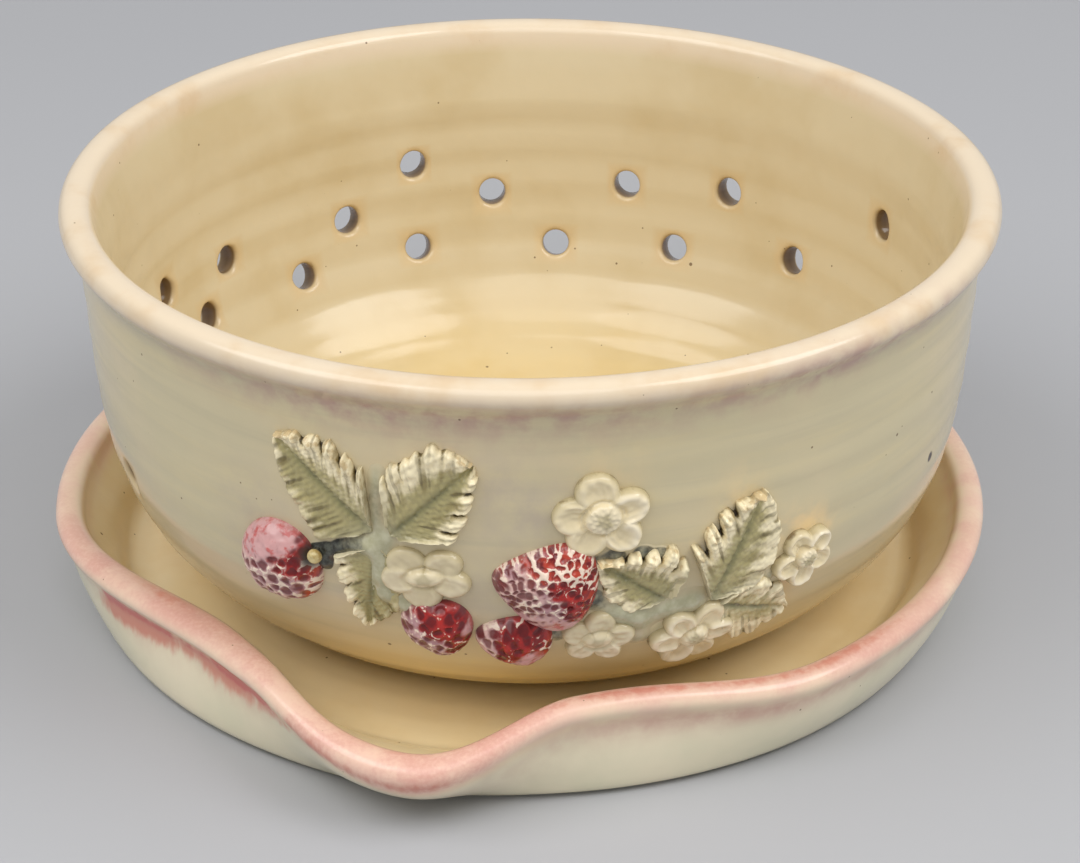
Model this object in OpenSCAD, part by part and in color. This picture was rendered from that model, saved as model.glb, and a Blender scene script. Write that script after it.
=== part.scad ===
// Stoneware berry bowl: a thrown bowl with drain holes, standing loose in a drip plate with a pouring spout.
// Leaves, blossoms and berries are sprigs, pressed clay pieces that are stuck to the bowl with slip.
// Sizes are in millimetres. The origin is the middle of the plate's underside, +Z is up, -Y is the front.

/* [Bowl] */
// Outer diameter across the rolled rim
bowl_d = 190; // [170:1:220]
// Height from the foot to the top of the rim
bowl_h = 84; // [76:0.5:100]
// Thickness of the thrown wall
wall_t = 6; // [4.5:0.1:7.5]
// Thickness of the floor
floor_t = 6.5; // [5:0.1:9]
// How far the wall leans in, from under the rim down to the foot
wall_lean = 4; // [2:0.1:8]
// How far the belly curves in at the bottom, past that lean
belly_in = 23.4; // [18:0.1:28]
// Height of the curved belly
belly_h = 61; // [54:0.5:68]
// Bevel under the belly, where it turns in to the foot
belly_bevel = 1.8; // [1:0.1:3]

/* [Rim] */
// Width of the rolled rim
rim_w = 7; // [6:0.1:9]
// Radius of the rim's rounded edges
rim_round = 2.8; // [2:0.1:3]
// How far the rim stands out past the wall
rim_out = 3.4; // [2.5:0.1:4.5]

/* [Foot ring] */
// Outer diameter of the foot ring
foot_d = 100; // [80:1:112]
// Width of the foot ring
foot_w = 6; // [4:0.1:9]
// Height of the foot ring
foot_h = 3; // [2:0.1:5]
// Width of the drain notches in the foot ring
notch_w = 10; // [6:0.5:16]
// Height of the drain notches
notch_h = 1.6; // [1:0.1:1.9]

/* [Drain holes] */
// Diameter of a drain hole
drain_d = 6.4; // [4:0.1:8]
// Diameter of the circle of holes in the floor
floor_drains_d = 44; // [34:1:60]

/* [Drip plate] */
// Gap between the bowl's belly and the plate's rim
plate_gap = 17.3; // [14:0.1:24]
// Height of the plate
plate_h = 21.3; // [19:0.1:26]
// Thickness of the plate's floor
plate_floor_t = 6; // [4:0.1:7]
// Thickness of the plate's wall
plate_wall_t = 5; // [4:0.1:6]
// How far the plate's wall leans out, from its base up to its rim
plate_flare = 5.5; // [3:0.1:8]
// Radius of the plate's rolled rim
roll_r = 2.35; // [2:0.05:2.8]
// How much thicker the rolled rim is at the spout
lip_swell = 0.8; // [0:0.1:1.2]
// Depth of the groove under the rolled rim
groove_t = 0.7; // [0.3:0.1:1.2]
// Radius of the cove between the plate's floor and wall
cove_r = 5; // [3:0.1:6]
// Bevel round the plate's base
base_bevel = 1.2; // [0.6:0.1:2]

/* [Spout] */
// Direction of the spout, counter-clockwise from +X
spout_turn = -101; // [-180:1:180]
// How far the spout's lip is pulled out
spout_reach = 7.5; // [4:0.1:10]
// How far the spout's lip is pressed down
spout_drop = 5.2; // [3:0.1:6]
// How far the rim is pinched in to the left of the spout
pinch_left = 6.6; // [3:0.1:8]
// How far the rim is pinched in to the right of the spout
pinch_right = 5.6; // [3:0.1:8]
// How far the pinched rim rises
pinch_lift = 1.5; // [0:0.1:3]

/* [Sprigs] */
// Length of the longest leaf
leaf_l = 26; // [22:0.5:30]
// Width of the widest leaf
leaf_w = 20; // [16:0.5:22]
// Thickness of a leaf
leaf_t = 2.4; // [1.6:0.1:3.4]
// Diameter of a full blossom
blossom_d = 17.5; // [15:0.5:19]
// Height of a blossom's middle above the wall
blossom_t = 3; // [2:0.1:4]
// Length of a full berry
berry_l = 18.5; // [16:0.5:20]
// Height of a berry above the wall
berry_t = 6.5; // [4:0.1:8]
// Diameter of the berry stalk's end
stalk_d = 2.6; // [2:0.1:3]

/* [Assembly] */
// How far the bowl stands to the right of the plate's middle
bowl_shift = 2.3; // [0:0.1:5]
// Film of slip between a sprig and the wall
slip_gap = 0.15; // [0.1:0.01:0.25]

/* [Hidden] */
$fn = 64;
leaf_names = [
    "left_leaf_outer", "left_leaf_inner", "left_leaf_lower",
    "right_leaf_inner", "right_leaf_upper", "right_leaf_lower"
];
blossom_names = [
    "left_blossom", "right_blossom_top", "right_blossom_low_inner",
    "right_blossom_low_outer", "right_blossom_end"
];
berry_names = ["left_berry_round", "left_berry_hanging", "right_berry_large", "right_berry_small"];

// Bowl: heights are above its foot
rim_r = bowl_d / 2;
neck_r = rim_r - rim_out;
neck_z = bowl_h - 2 * rim_round;
foot_r = foot_d / 2;
floor_z = foot_h + floor_t;
// The inside of the belly turns into the floor here
cove_z = floor_z - wall_t / 2;
belly_power = 4;
wall_steps = 18;
// Directions in the section where the rolled rim meets the wall outside and inside
rim_from = -50;
rim_to = 210;

// Holes in the wall: direction, and height as a share of the bowl's. The front, with the sprigs, has none.
drain_shares = [
    [109, 0.62], [96, 0.52], [121, 0.49], [145, 0.5], [161, 0.52], [151, 0.375],
    [109, 0.37], [75, 0.55], [57, 0.58], [25, 0.67], [-154, 0.41],
    [130, 0.36], [86, 0.36], [66, 0.38], [44, 0.44], [6, 0.48], [-12, 0.38], [177, 0.39], [-169, 0.5]
];
floor_drains = 6;
foot_notches = 4;

// Plate: the rim stands off the belly at the rim's own height
rim_core_z = plate_h - roll_r;
rim_core_r = wall_r(rim_core_z - plate_floor_t) + plate_gap + roll_r;
base_r = rim_core_r - plate_flare;
plate_inner_r = base_r - plate_wall_t;
plate_steps = 90;
// Half widths of the pressed spout and of the pinched rim beside it, before and after their middles
spout_spread = [23, 18];
left_spread = [36, 27];
right_spread = [25, 25];
// Turns from the spout to the middles of the pinched stretches
left_turn = -34;
right_turn = 24;
// The cove flattens under the spout
spout_cove_share = 0.6;
// Directions in the section where the rolled rim leaves the wall inside and outside
roll_from = 200;
roll_to = -60;

// Sprigs: both sprays are laid out in shares of this width
spray_w = leaf_l + blossom_d + berry_l;
// Direction between the two sprays
spray_turn = -92;
// Middles of the left and right spray: distance across from there, and height as a share of the bowl's
spray_shares = [[-0.405, 0.583], [0.4, 0.464]];
// Leaves: spray, base across and up, turn, length, and half widths left and right of the midrib
leaf_shares = [
    [0, -0.015, 0.013, 139, 1, 0.5, 0.5],
    [0, 0.031, 0.026, 47, 0.98, 0.475, 0.475],
    [0, 0.006, -0.029, -114, 0.8, 0.11, 0.375],
    [1, 0.081, -0.065, 140, 0.7, 0.35, 0.375],
    [1, 0.224, -0.073, 68, 0.94, 0.375, 0.425],
    [1, 0.292, -0.156, -20, 0.65, 0.3, 0.375]
];
// Blossoms: spray, middle across and up, turn, and diameter
blossom_shares = [
    [0, 0.142, -0.121, 8, 0.94],
    [1, -0.116, 0.279, 20, 1],
    [1, -0.139, -0.181, -10, 0.77],
    [1, 0.16, -0.25, 30, 1.03],
    [1, 0.544, -0.019, 0, 0.86]
];
// Berries: spray, middle across and up, turn of the tip, length and width
berry_shares = [
    [0, -0.332, -0.137, 200, 0.97, 0.95],
    [0, 0.166, -0.361, -100, 0.63, 0.73],
    [1, -0.313, 0.047, 153, 1.05, 0.92],
    [1, -0.374, -0.19, 170, 0.76, 0.6]
];
// The stalk's end lies by the round berry's blunt end, this far round from its tip
stalk_turn = 185;

// A leaf's section from its right edge to its left one: place and height, with a groove at the midrib
leaf_section_shares = [[-1, 0.4], [-0.55, 0.95], [0, 0.65], [0.55, 0.95], [1, 0.4]];
leaf_rows = 18;
leaf_tooth_share = 0.12;
leaf_vein_share = 0.2;
// A blossom's rings: share of the radius, height between petals and height along a petal's middle
blossom_ring_shares = [
    [0.14, 0.95, 0.95], [0.28, 0.75, 0.75], [0.38, 0.3, 0.4],
    [0.66, 0.28, 0.72], [0.88, 0.28, 0.66], [1, 0.25, 0.4]
];
petals = 5;
petal_notch_share = 0.24;
// A berry's rings: share of the outline and of the height
berry_ring_shares = [[0.26, 0.97], [0.5, 0.88], [0.72, 0.72], [0.9, 0.48], [1, 0.22]];
berry_taper_share = 0.2;
seed_share = 0.06;
back_ring_shares = [1, 0.66, 0.33];

// Outer radius of the wall, and how it grows with height
function wall_r(z) =
    neck_r - wall_lean * (1 - z / neck_z) - belly_in * pow(belly_share(z), belly_power);
function wall_slope(z) =
    wall_lean / neck_z + belly_in * belly_power / belly_h * pow(belly_share(z), belly_power - 1);
function belly_share(z) = max(0, (belly_h + foot_h - z) / belly_h);
// Share of a slanted distance that lies across the wall
function wall_cos(z) = 1 / sqrt(1 + pow(wall_slope(z), 2));
function wall_inside(z) =
    [wall_r(z) - wall_t * wall_cos(z), z + wall_t * wall_cos(z) * wall_slope(z)];

function mix(a, b, t) = a + (b - a) * t;
function arc(middle, r, from, to, steps) =
    [for (i = [0:steps]) middle + r * [cos(mix(from, to, i / steps)), sin(mix(from, to, i / steps))]];

// A smooth hump: 1 in its middle and 0 past its spread on either side
function hump(turn, spread) =
    let (x = turn / (turn < 0 ? spread[0] : spread[1])) abs(x) < 1 ? (1 + cos(180 * x)) / 2 : 0;
function turn_between(from, to) = (to - from + 900) % 360 - 180;
function spout_at(a) = hump(turn_between(spout_turn, a), spout_spread);
function left_at(a) = hump(turn_between(spout_turn + left_turn, a), left_spread);
function right_at(a) = hump(turn_between(spout_turn + right_turn, a), right_spread);

// The plate's section in one direction, from the edge of its floor over the rim to the edge of its base
function plate_section(a) =
    let (
        core = [
            rim_core_r + spout_reach * spout_at(a) - pinch_left * left_at(a) - pinch_right * right_at(a),
            rim_core_z - spout_drop * spout_at(a) + pinch_lift * (left_at(a) + right_at(a))
        ],
        cove_h = cove_r * (1 - spout_cove_share * spout_at(a)),
        lip_r = roll_r + lip_swell * spout_at(a),
        roll = arc(core, lip_r, roll_from, roll_to, 8),
        inner = [plate_inner_r, plate_floor_t + cove_h],
        groove = [core[0] - groove_t, core[1] - 1.5 * lip_r],
        outer = [base_r, base_bevel]
    )
    concat(
        [for (t = [0:30:60])
            [plate_inner_r - cove_r * (1 - sin(t)), plate_floor_t + cove_h * (1 - cos(t))]],
        [for (t = [0:2]) mix(inner, roll[0], t / 3)],
        roll,
        [for (t = [0:3]) mix(groove, outer, t / 4)],
        [outer, [base_r - base_bevel, 0]]
    );

// A point of a sprig: across and up along the wall from a middle, and out from it
function on_wall(middle, p) =
    let (
        z = middle[1] + p[1] * wall_cos(middle[1]),
        a = middle[0] + p[0] / wall_r(z) * 180 / PI,
        r = wall_r(z) + p[2] * wall_cos(z)
    )
    [r * cos(a), r * sin(a), z - p[2] * wall_cos(z) * wall_slope(z)];
// A sprig's middle on the wall: direction and height
function sprig_middle(row) =
    let (
        spray = spray_shares[row[0]],
        spray_z = spray[1] * bowl_h,
        z = spray_z + row[2] * spray_w,
        turn = (spray[0] / wall_r(spray_z) + row[1] / wall_r(z)) * spray_w * 180 / PI
    )
    [spray_turn + turn, z];
function turned(p, a) = [p[0] * cos(a) - p[1] * sin(a), p[0] * sin(a) + p[1] * cos(a), p[2]];

// A closed solid through rings of points, between two poles
module ring_solid(first, rings, last) {
    n = len(rings[0]);
    points = concat([first], [for (ring = rings) each ring], [last]);
    end = len(points) - 1;
    polyhedron(points, concat(
        [for (j = [0:n - 1]) [0, 1 + (j + 1) % n, 1 + j]],
        [for (i = [0:len(rings) - 2], j = [0:n - 1])
            let (a = 1 + i * n + j, b = 1 + i * n + (j + 1) % n) each [[a, b, b + n], [a, b + n, a + n]]],
        [for (j = [0:n - 1]) [end, end - n + j, end - n + (j + 1) % n]]
    ));
}

// A sprig made of rings about its middle, on the bowl's wall
module sprig(middle, turn, rings, top) {
    placed = [for (ring = rings) [for (p = ring) on_wall(middle, turned(p, turn))]];
    ring_solid(on_wall(middle, [0, 0, top]), placed, on_wall(middle, [0, 0, slip_gap]));
}

module on_plate() {
    translate([bowl_shift, 0, plate_floor_t]) children();
}

module drip_plate() {
    sections = [for (i = [0:plate_steps - 1]) let (a = 360 * i / plate_steps) [a, plate_section(a)]];
    rings = [for (k = [0:len(sections[0][1]) - 1])
        [for (s = sections) [s[1][k][0] * cos(s[0]), s[1][k][0] * sin(s[0]), s[1][k][1]]]];
    color("wheat") ring_solid([0, 0, plate_floor_t], rings, [0, 0, 0]);
}

module bowl_section() {
    belly_z = foot_h + belly_bevel;
    outside = [for (i = [0:wall_steps]) let (z = mix(belly_z, neck_z, i / wall_steps)) [wall_r(z), z]];
    inside = [for (i = [wall_steps - 2:-1:0]) wall_inside(mix(cove_z, neck_z, i / wall_steps))];
    roll_z = bowl_h - rim_round;
    polygon(concat(
        [[foot_r - foot_w, 0], [foot_r, 0], [foot_r, foot_h], [wall_r(belly_z) - 2 * belly_bevel, foot_h]],
        outside,
        arc([rim_r - rim_round, roll_z], rim_round, rim_from, 90, 6),
        arc([rim_r - rim_w + rim_round, roll_z], rim_round, 90, rim_to, 5),
        inside,
        [[wall_inside(cove_z)[0] - wall_t, floor_z], [0, floor_z], [0, foot_h], [foot_r - foot_w, foot_h]]
    ));
}

module floor_drain(r) {
    translate([r, 0, foot_h]) cylinder(h = 4 * floor_t, d = drain_d, center = true);
}

module colander_bowl() {
    color("cornsilk") on_plate() difference() {
        rotate_extrude() bowl_section();
        for (d = drain_shares) let (z = d[1] * bowl_h)
            rotate([0, 0, d[0]]) translate([wall_r(z), 0, z]) rotate([0, 90 + atan(wall_slope(z)), 0])
                cylinder(h = 4 * wall_t, d = drain_d, center = true);
        floor_drain(0);
        for (i = [1:floor_drains]) rotate([0, 0, 360 * i / floor_drains]) floor_drain(floor_drains_d / 2);
        for (i = [1:foot_notches]) rotate([0, 0, 360 * (i - 0.5) / foot_notches])
            translate([foot_r - foot_w / 2, 0, 0]) cube([2 * foot_w, notch_w, 2 * notch_h], center = true);
    }
}

// A toothed leaf, grooved along its midrib and side veins
module leaf(i) {
    row = leaf_shares[i];
    middle = sprig_middle(row);
    length = row[4] * leaf_l;
    function across(k, s) =
        s * leaf_w * (s > 0 ? row[5] : row[6]) * pow(sin(180 * pow(k / leaf_rows, 1.1)), 0.9)
        * (1 - leaf_tooth_share * abs(s) * (k % 2));
    function top(k, s) = slip_gap + leaf_t * s[1] * (1 - leaf_vein_share * abs(s[0]) * (k % 2));
    function placed(k, y, h) = on_wall(middle, turned([length * k / leaf_rows, y, h], row[3]));
    last = len(leaf_section_shares) - 1;
    rings = [for (k = [1:leaf_rows - 1]) concat(
        [for (s = leaf_section_shares) placed(k, across(k, s[0]), top(k, s))],
        [for (j = [last:-1:0]) placed(k, across(k, leaf_section_shares[j][0]), slip_gap)]
    )];
    color("darkseagreen") on_plate()
        ring_solid(placed(0, 0, slip_gap), rings, placed(leaf_rows, 0, slip_gap));
}

// A blossom with five notched petals round a domed middle
module blossom(i) {
    row = blossom_shares[i];
    r = row[4] * blossom_d / 2;
    turns = [0:360 / (8 * petals):359];
    // 1 along a petal's middle and 0 between two petals
    function petal(t) = pow(abs(cos(petals * t / 2)), 0.7);
    function at(t, share, h) =
        let (reach = share * r * (1 - petal_notch_share * (1 - petal(t))))
        [reach * cos(t), reach * sin(t), slip_gap + h];
    rings = concat(
        [for (s = blossom_ring_shares)
            [for (t = turns) at(t, s[0], blossom_t * mix(s[1], s[2], petal(t)))]],
        [for (s = back_ring_shares) [for (t = turns) at(t, s, 0)]]
    );
    color("ivory") on_plate() sprig(sprig_middle(row), row[3], rings, slip_gap + blossom_t);
}

// A berry that narrows to its tip, dimpled with seeds
module berry(i) {
    row = berry_shares[i];
    count = 28;
    half = [row[4], row[5]] * berry_l / 2;
    function at(j, share, h) =
        let (t = 360 * j / count, y = half[1] * sin(t) * (1 - berry_taper_share * cos(t)))
        [share * half[0] * cos(t), share * y, slip_gap + h];
    function height(k, j) = berry_t * berry_ring_shares[k][1] * (1 - seed_share * ((k + j) % 2));
    rings = concat(
        [for (k = [0:len(berry_ring_shares) - 1])
            [for (j = [0:count - 1]) at(j, berry_ring_shares[k][0], height(k, j))]],
        [for (s = back_ring_shares) [for (j = [0:count - 1]) at(j, s, 0)]]
    );
    color("firebrick") on_plate() sprig(sprig_middle(row), row[3], rings, slip_gap + berry_t);
}

// The bead at the end of the round berry's stalk
module left_berry_stalk() {
    r = stalk_d / 2;
    row = berry_shares[0];
    reach = (row[4] * berry_l / 2 + r + 2 * slip_gap) / spray_w;
    away = reach * [cos(row[3] + stalk_turn), sin(row[3] + stalk_turn)];
    turns = [0:30:330];
    function ring(r, h) = [for (t = turns) [r * cos(t), r * sin(t), slip_gap + h]];
    rings = concat([for (lift = [60, 30, 0]) ring(r * cos(lift), r * (1 + sin(lift)))], [ring(r, 0)]);
    color("rosybrown") on_plate()
        sprig(sprig_middle([row[0], row[1] + away[0], row[2] + away[1]]), 0, rings, slip_gap + stalk_d);
}

drip_plate();
colander_bowl();
for (i = [0:len(leaf_names) - 1]) leaf(i);
for (i = [0:len(blossom_names) - 1]) blossom(i);
for (i = [0:len(berry_names) - 1]) berry(i);
left_berry_stalk();
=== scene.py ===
import math

import bmesh
import bpy
import numpy as np
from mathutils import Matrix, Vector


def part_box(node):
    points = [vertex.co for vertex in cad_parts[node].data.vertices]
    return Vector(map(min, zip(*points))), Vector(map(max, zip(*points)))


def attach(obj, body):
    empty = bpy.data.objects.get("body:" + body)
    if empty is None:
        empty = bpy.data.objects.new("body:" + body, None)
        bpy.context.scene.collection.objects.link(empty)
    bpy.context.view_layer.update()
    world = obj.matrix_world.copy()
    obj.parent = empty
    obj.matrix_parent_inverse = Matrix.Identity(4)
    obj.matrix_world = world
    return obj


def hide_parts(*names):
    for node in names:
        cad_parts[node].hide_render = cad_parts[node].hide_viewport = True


# Glazed stoneware berry bowl on its drip plate. Shapes are worked out in millimetres and stored in metres.
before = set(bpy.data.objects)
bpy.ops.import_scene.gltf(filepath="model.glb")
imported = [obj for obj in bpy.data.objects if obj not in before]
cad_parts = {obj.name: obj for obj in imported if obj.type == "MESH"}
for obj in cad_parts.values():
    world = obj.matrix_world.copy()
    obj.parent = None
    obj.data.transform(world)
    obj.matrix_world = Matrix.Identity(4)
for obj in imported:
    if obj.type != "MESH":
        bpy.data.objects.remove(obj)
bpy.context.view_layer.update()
mm = 0.001
# points of a mesh closer than this, in millimetres, are joined
weldGap = 0.001
print("frame loaded:", len(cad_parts), "nodes")


# Small number helpers, all on whole arrays
def smoothStep(low, high, x):
    t = np.clip((x - low) / (high - low), 0, 1)
    return t * t * (3 - 2 * t)


def bell(x, width):
    return np.exp(-(x / width) ** 2)


def turnBetween(start, end):
    return (end - start + 180) % 360 - 180


# A smooth hump, 1 in its middle and 0 past its spread before and after
def hump(turn, spread):
    x = turn / np.where(turn < 0, spread[0], spread[1])
    return np.where(abs(x) < 1, (1 + np.cos(np.pi * x)) / 2, 0)


# Soft lumps in a plane: a sum of a few slow waves in seeded directions, about -1 to 1
def lumps(x, y, size, seed, waves=7):
    dice = np.random.default_rng(seed)
    total = 0
    for _ in range(waves):
        way, phase = dice.uniform(0, 2 * np.pi, 2)
        stretch = dice.uniform(0.6, 1.6)
        total = total + np.sin((x * np.cos(way) + y * np.sin(way)) * 2 * np.pi * stretch / size + phase)
    return total / math.sqrt(waves * 2)


# 1 up to start, then down a quarter circle to 0 at 1
def roundOff(x, start):
    return np.sqrt(1 - np.clip((x - start) / (1 - start), 0, 1) ** 2)


# Even steps round a circle, in radians
def roundSteps(count):
    return np.linspace(0, 2 * np.pi, count, endpoint=False)


# Points of a plane turned by some degrees
def turned(x, y, degrees):
    c, s = np.cos(np.radians(degrees)), np.sin(np.radians(degrees))
    return x * c - y * s, x * s + y * c


# Points of a section as radius and height
def profile(r, z):
    return np.stack(np.broadcast_arrays(r, z), -1)


def arc(middle, radius, start, end, steps):
    angle = np.radians(np.linspace(start, end, steps))
    return profile(middle[0] + radius * np.cos(angle), middle[1] + radius * np.sin(angle))


# Rows softened along the section, ends kept or closed on themselves
def soften(rows, passes, closed=False):
    for _ in range(passes):
        soft = (np.roll(rows, 1, 0) + 2 * rows + np.roll(rows, -1, 0)) / 4
        if not closed:
            soft[0], soft[-1] = rows[0], rows[-1]
        rows = soft
    return rows


# Four corners of every cell of a grid of rows and columns. The columns close on themselves.
def gridQuads(rows, cols, closeRows=False):
    i = np.arange(rows if closeRows else rows - 1)[:, None]
    j = np.arange(cols)[None, :]
    nextI, nextJ = (i + 1) % rows, (j + 1) % cols
    corners = [i * cols + j, i * cols + nextJ, nextI * cols + nextJ, nextI * cols + j]
    return np.stack(np.broadcast_arrays(*corners), -1)


# One closed mesh from points in millimetres. Fields are numbers on the points, read by the materials.
def makePiece(name, points, quads, fields, material, node=None, body="bowl"):
    points = np.asarray(points, float).reshape(-1, 3)
    quads = np.asarray(quads).reshape(-1, 4)
    mesh = bpy.data.meshes.new(name)
    mesh.vertices.add(len(points))
    mesh.vertices.foreach_set("co", (points * mm).astype(np.float32).ravel())
    mesh.loops.add(quads.size)
    mesh.loops.foreach_set("vertex_index", quads.astype(np.int32).ravel())
    mesh.polygons.add(len(quads))
    mesh.polygons.foreach_set("loop_start", np.arange(0, quads.size, 4, dtype=np.int32))
    mesh.update(calc_edges=True)
    for key, values in fields.items():
        layer = mesh.attributes.new(key, "FLOAT", "POINT")
        layer.data.foreach_set("value", np.broadcast_to(values, len(points)).astype(np.float32).ravel())
    shell = bmesh.new()
    shell.from_mesh(mesh)
    bmesh.ops.remove_doubles(shell, verts=shell.verts, dist=weldGap * mm)
    bmesh.ops.recalc_face_normals(shell, faces=shell.faces)
    shell.to_mesh(mesh)
    shell.free()
    mesh.polygons.foreach_set("use_smooth", np.ones(len(mesh.polygons), bool))
    mesh.materials.append(material)
    piece = bpy.data.objects.new(name, mesh)
    bpy.context.scene.collection.objects.link(piece)
    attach(piece, body)
    if node:
        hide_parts(node)


# A node's name as the name of the piece that stands for it
def pieceName(node):
    first, *rest = node.split("_")
    return first + "".join(word.capitalize() for word in rest)


# One socket of a material. Sums and products of sockets add Math nodes, and make() adds any other node.
class Glaze:
    def __init__(self, tree, socket=None):
        self.tree = tree
        self.socket = socket

    def make(self, kind, settings=None, inputs=None, out=0):
        made = self.tree.nodes.new(kind)
        for key, value in (settings or {}).items():
            setattr(made, key, value)
        for key, value in (inputs or {}).items():
            if isinstance(value, Glaze):
                self.tree.links.new(value.socket, made.inputs[key])
            else:
                made.inputs[key].default_value = value
        return Glaze(self.tree, made.outputs[out])

    def math(self, kind, *values):
        return self.make("ShaderNodeMath", {"operation": kind}, dict(enumerate(values)))

    def __add__(self, other):
        return self.math("ADD", self, other)

    def __sub__(self, other):
        return self.math("SUBTRACT", self, other)

    def __mul__(self, other):
        return self.math("MULTIPLY", self, other)

    def __rsub__(self, other):
        return self.math("SUBTRACT", other, self)

    # 0 below low, 1 above high, smooth between
    def step(self, low, high):
        return self.make("ShaderNodeMapRange", {"interpolation_type": "SMOOTHSTEP"},
                         {"Value": self, "From Min": low, "From Max": high})

    # This socket picks between two colours
    def pick(self, low, high):
        return self.make("ShaderNodeMix", {"data_type": "RGBA"}, {0: self, 6: low, 7: high}, 2)

    def field(self, name):
        return self.make("ShaderNodeAttribute", {"attribute_name": name}, out="Fac")

    def place(self):
        return self.make("ShaderNodeTexCoord", out="Object")

    # Noise with patches of about this size, on Object coordinates
    def noise(self, size, detail=3, rough=0.55, place=None):
        return self.make("ShaderNodeTexNoise", {}, {"Vector": place or self.place(), "Scale": 1 / (size * mm),
                                                    "Detail": detail, "Roughness": rough})

    # Noise drawn out level round the pot, as the wheel leaves it
    def streaks(self, size, flat, detail=3):
        squeezed = self.make("ShaderNodeVectorMath", {"operation": "MULTIPLY"},
                             {0: self.place(), 1: (1, 1, flat)})
        return self.noise(size, detail, place=squeezed)

    # 1 within this radius of a point, fading to 0 over the same distance again
    def spot(self, point, radius):
        ends = {0: self.place(), 1: point * mm}
        away = self.make("ShaderNodeVectorMath", {"operation": "DISTANCE"}, ends, "Value")
        return 1 - away.step(radius * mm, 2 * radius * mm)

    # Scattered specks: cells of this spacing, a dot in some of them
    def specks(self, spacing, dot):
        cell = self.make("ShaderNodeTexVoronoi", {}, {"Vector": self.place(), "Scale": 1 / (spacing * mm)})
        shade = Glaze(self.tree, cell.socket.node.outputs["Color"])
        chance = self.make("ShaderNodeSeparateColor", {}, {0: shade})
        return (chance.step(0.55, 1) * (dot / spacing) - cell).step(0, 0.3 * dot / spacing)


# A colour as it looks on screen, 0 to 255, turned into the linear numbers that a shader takes
def tint(red, green, blue):
    share = np.array([red, green, blue]) / 255
    linear = np.where(share < 0.04045, share / 12.92, ((share + 0.055) / 1.055) ** 2.4)
    return (*linear.tolist(), 1)


def newMaterial(name):
    material = bpy.data.materials.new(name)
    material.use_nodes = True
    return material, Glaze(material.node_tree)


# Gloss glaze over the colour: a fine orange-peel bump and patches of duller gloss, sizes in millimetres
skin = {"ior": 1.52, "dullPatch": 6, "peel": 1.6, "peelShare": 0.25, "sag": 7, "bump": 0.5}


def fire(wire, colour, rough=0.16, roughSpread=0.12, bumpDepth=0.12):
    shader = wire.tree.nodes["Principled BSDF"]
    shader.inputs["IOR"].default_value = skin["ior"]
    gloss = wire.noise(skin["dullPatch"], 2) * roughSpread + (rough - roughSpread / 2)
    peel = wire.noise(skin["peel"], 2) * skin["peelShare"] + wire.noise(skin["sag"], 1)
    bump = wire.make("ShaderNodeBump", {},
                     {"Strength": skin["bump"], "Distance": bumpDepth * mm, "Height": peel})
    for socket, value in {"Base Color": colour, "Roughness": gloss, "Normal": bump}.items():
        wire.tree.links.new(value.socket, shader.inputs[socket])


# Iron specks all over the clay: colour, strength, and spacing and size of the coarse and the fine ones
specks = {"iron": tint(112, 88, 62), "strength": 0.85, "dots": [(8, 0.5), (3.2, 0.3)]}


def speckle(wire, colour):
    for spacing, size in specks["dots"]:
        colour = (wire.specks(spacing, size) * specks["strength"]).pick(colour, specks["iron"])
    return colour


# Camera at the photograph's place: height, distance and tilt come from the rim's and the plate's outlines
cameraView = {"place": (4.3, -528.5, 314.8), "tilt": 28.26, "focalPixels": 2818.5, "imageWidth": 1080,
              "sensor": 36, "nearest": 10}
cameraData = bpy.data.cameras.new("camera")
cameraData.sensor_fit = "HORIZONTAL"
cameraData.sensor_width = cameraView["sensor"]
cameraData.lens = cameraView["focalPixels"] / cameraView["imageWidth"] * cameraView["sensor"]
cameraData.clip_start = cameraView["nearest"] * mm
camera = bpy.data.objects.new("camera", cameraData)
camera.location = [p * mm for p in cameraView["place"]]
camera.rotation_euler = (math.radians(90 - cameraView["tilt"]), 0, 0)
bpy.context.scene.collection.objects.link(camera)
bpy.context.scene.camera = camera

# Soft studio light: a broad lamp above the front and one on each side
studio = {
    "world": 0.48,
    "lamps": {
        "topLamp": {"place": (-100, -700, 950), "size": 900, "power": 2.8},
        "leftLamp": {"place": (-700, -330, 1000), "size": 900, "power": 5.4},
        "rightLamp": {"place": (750, -300, 1050), "size": 900, "power": 8},
    },
    "floor": {"size": 40000, "patch": 400, "rough": 0.6, "shade": tint(180, 181, 184),
              "shadeLow": tint(173, 174, 178)},
}


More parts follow.
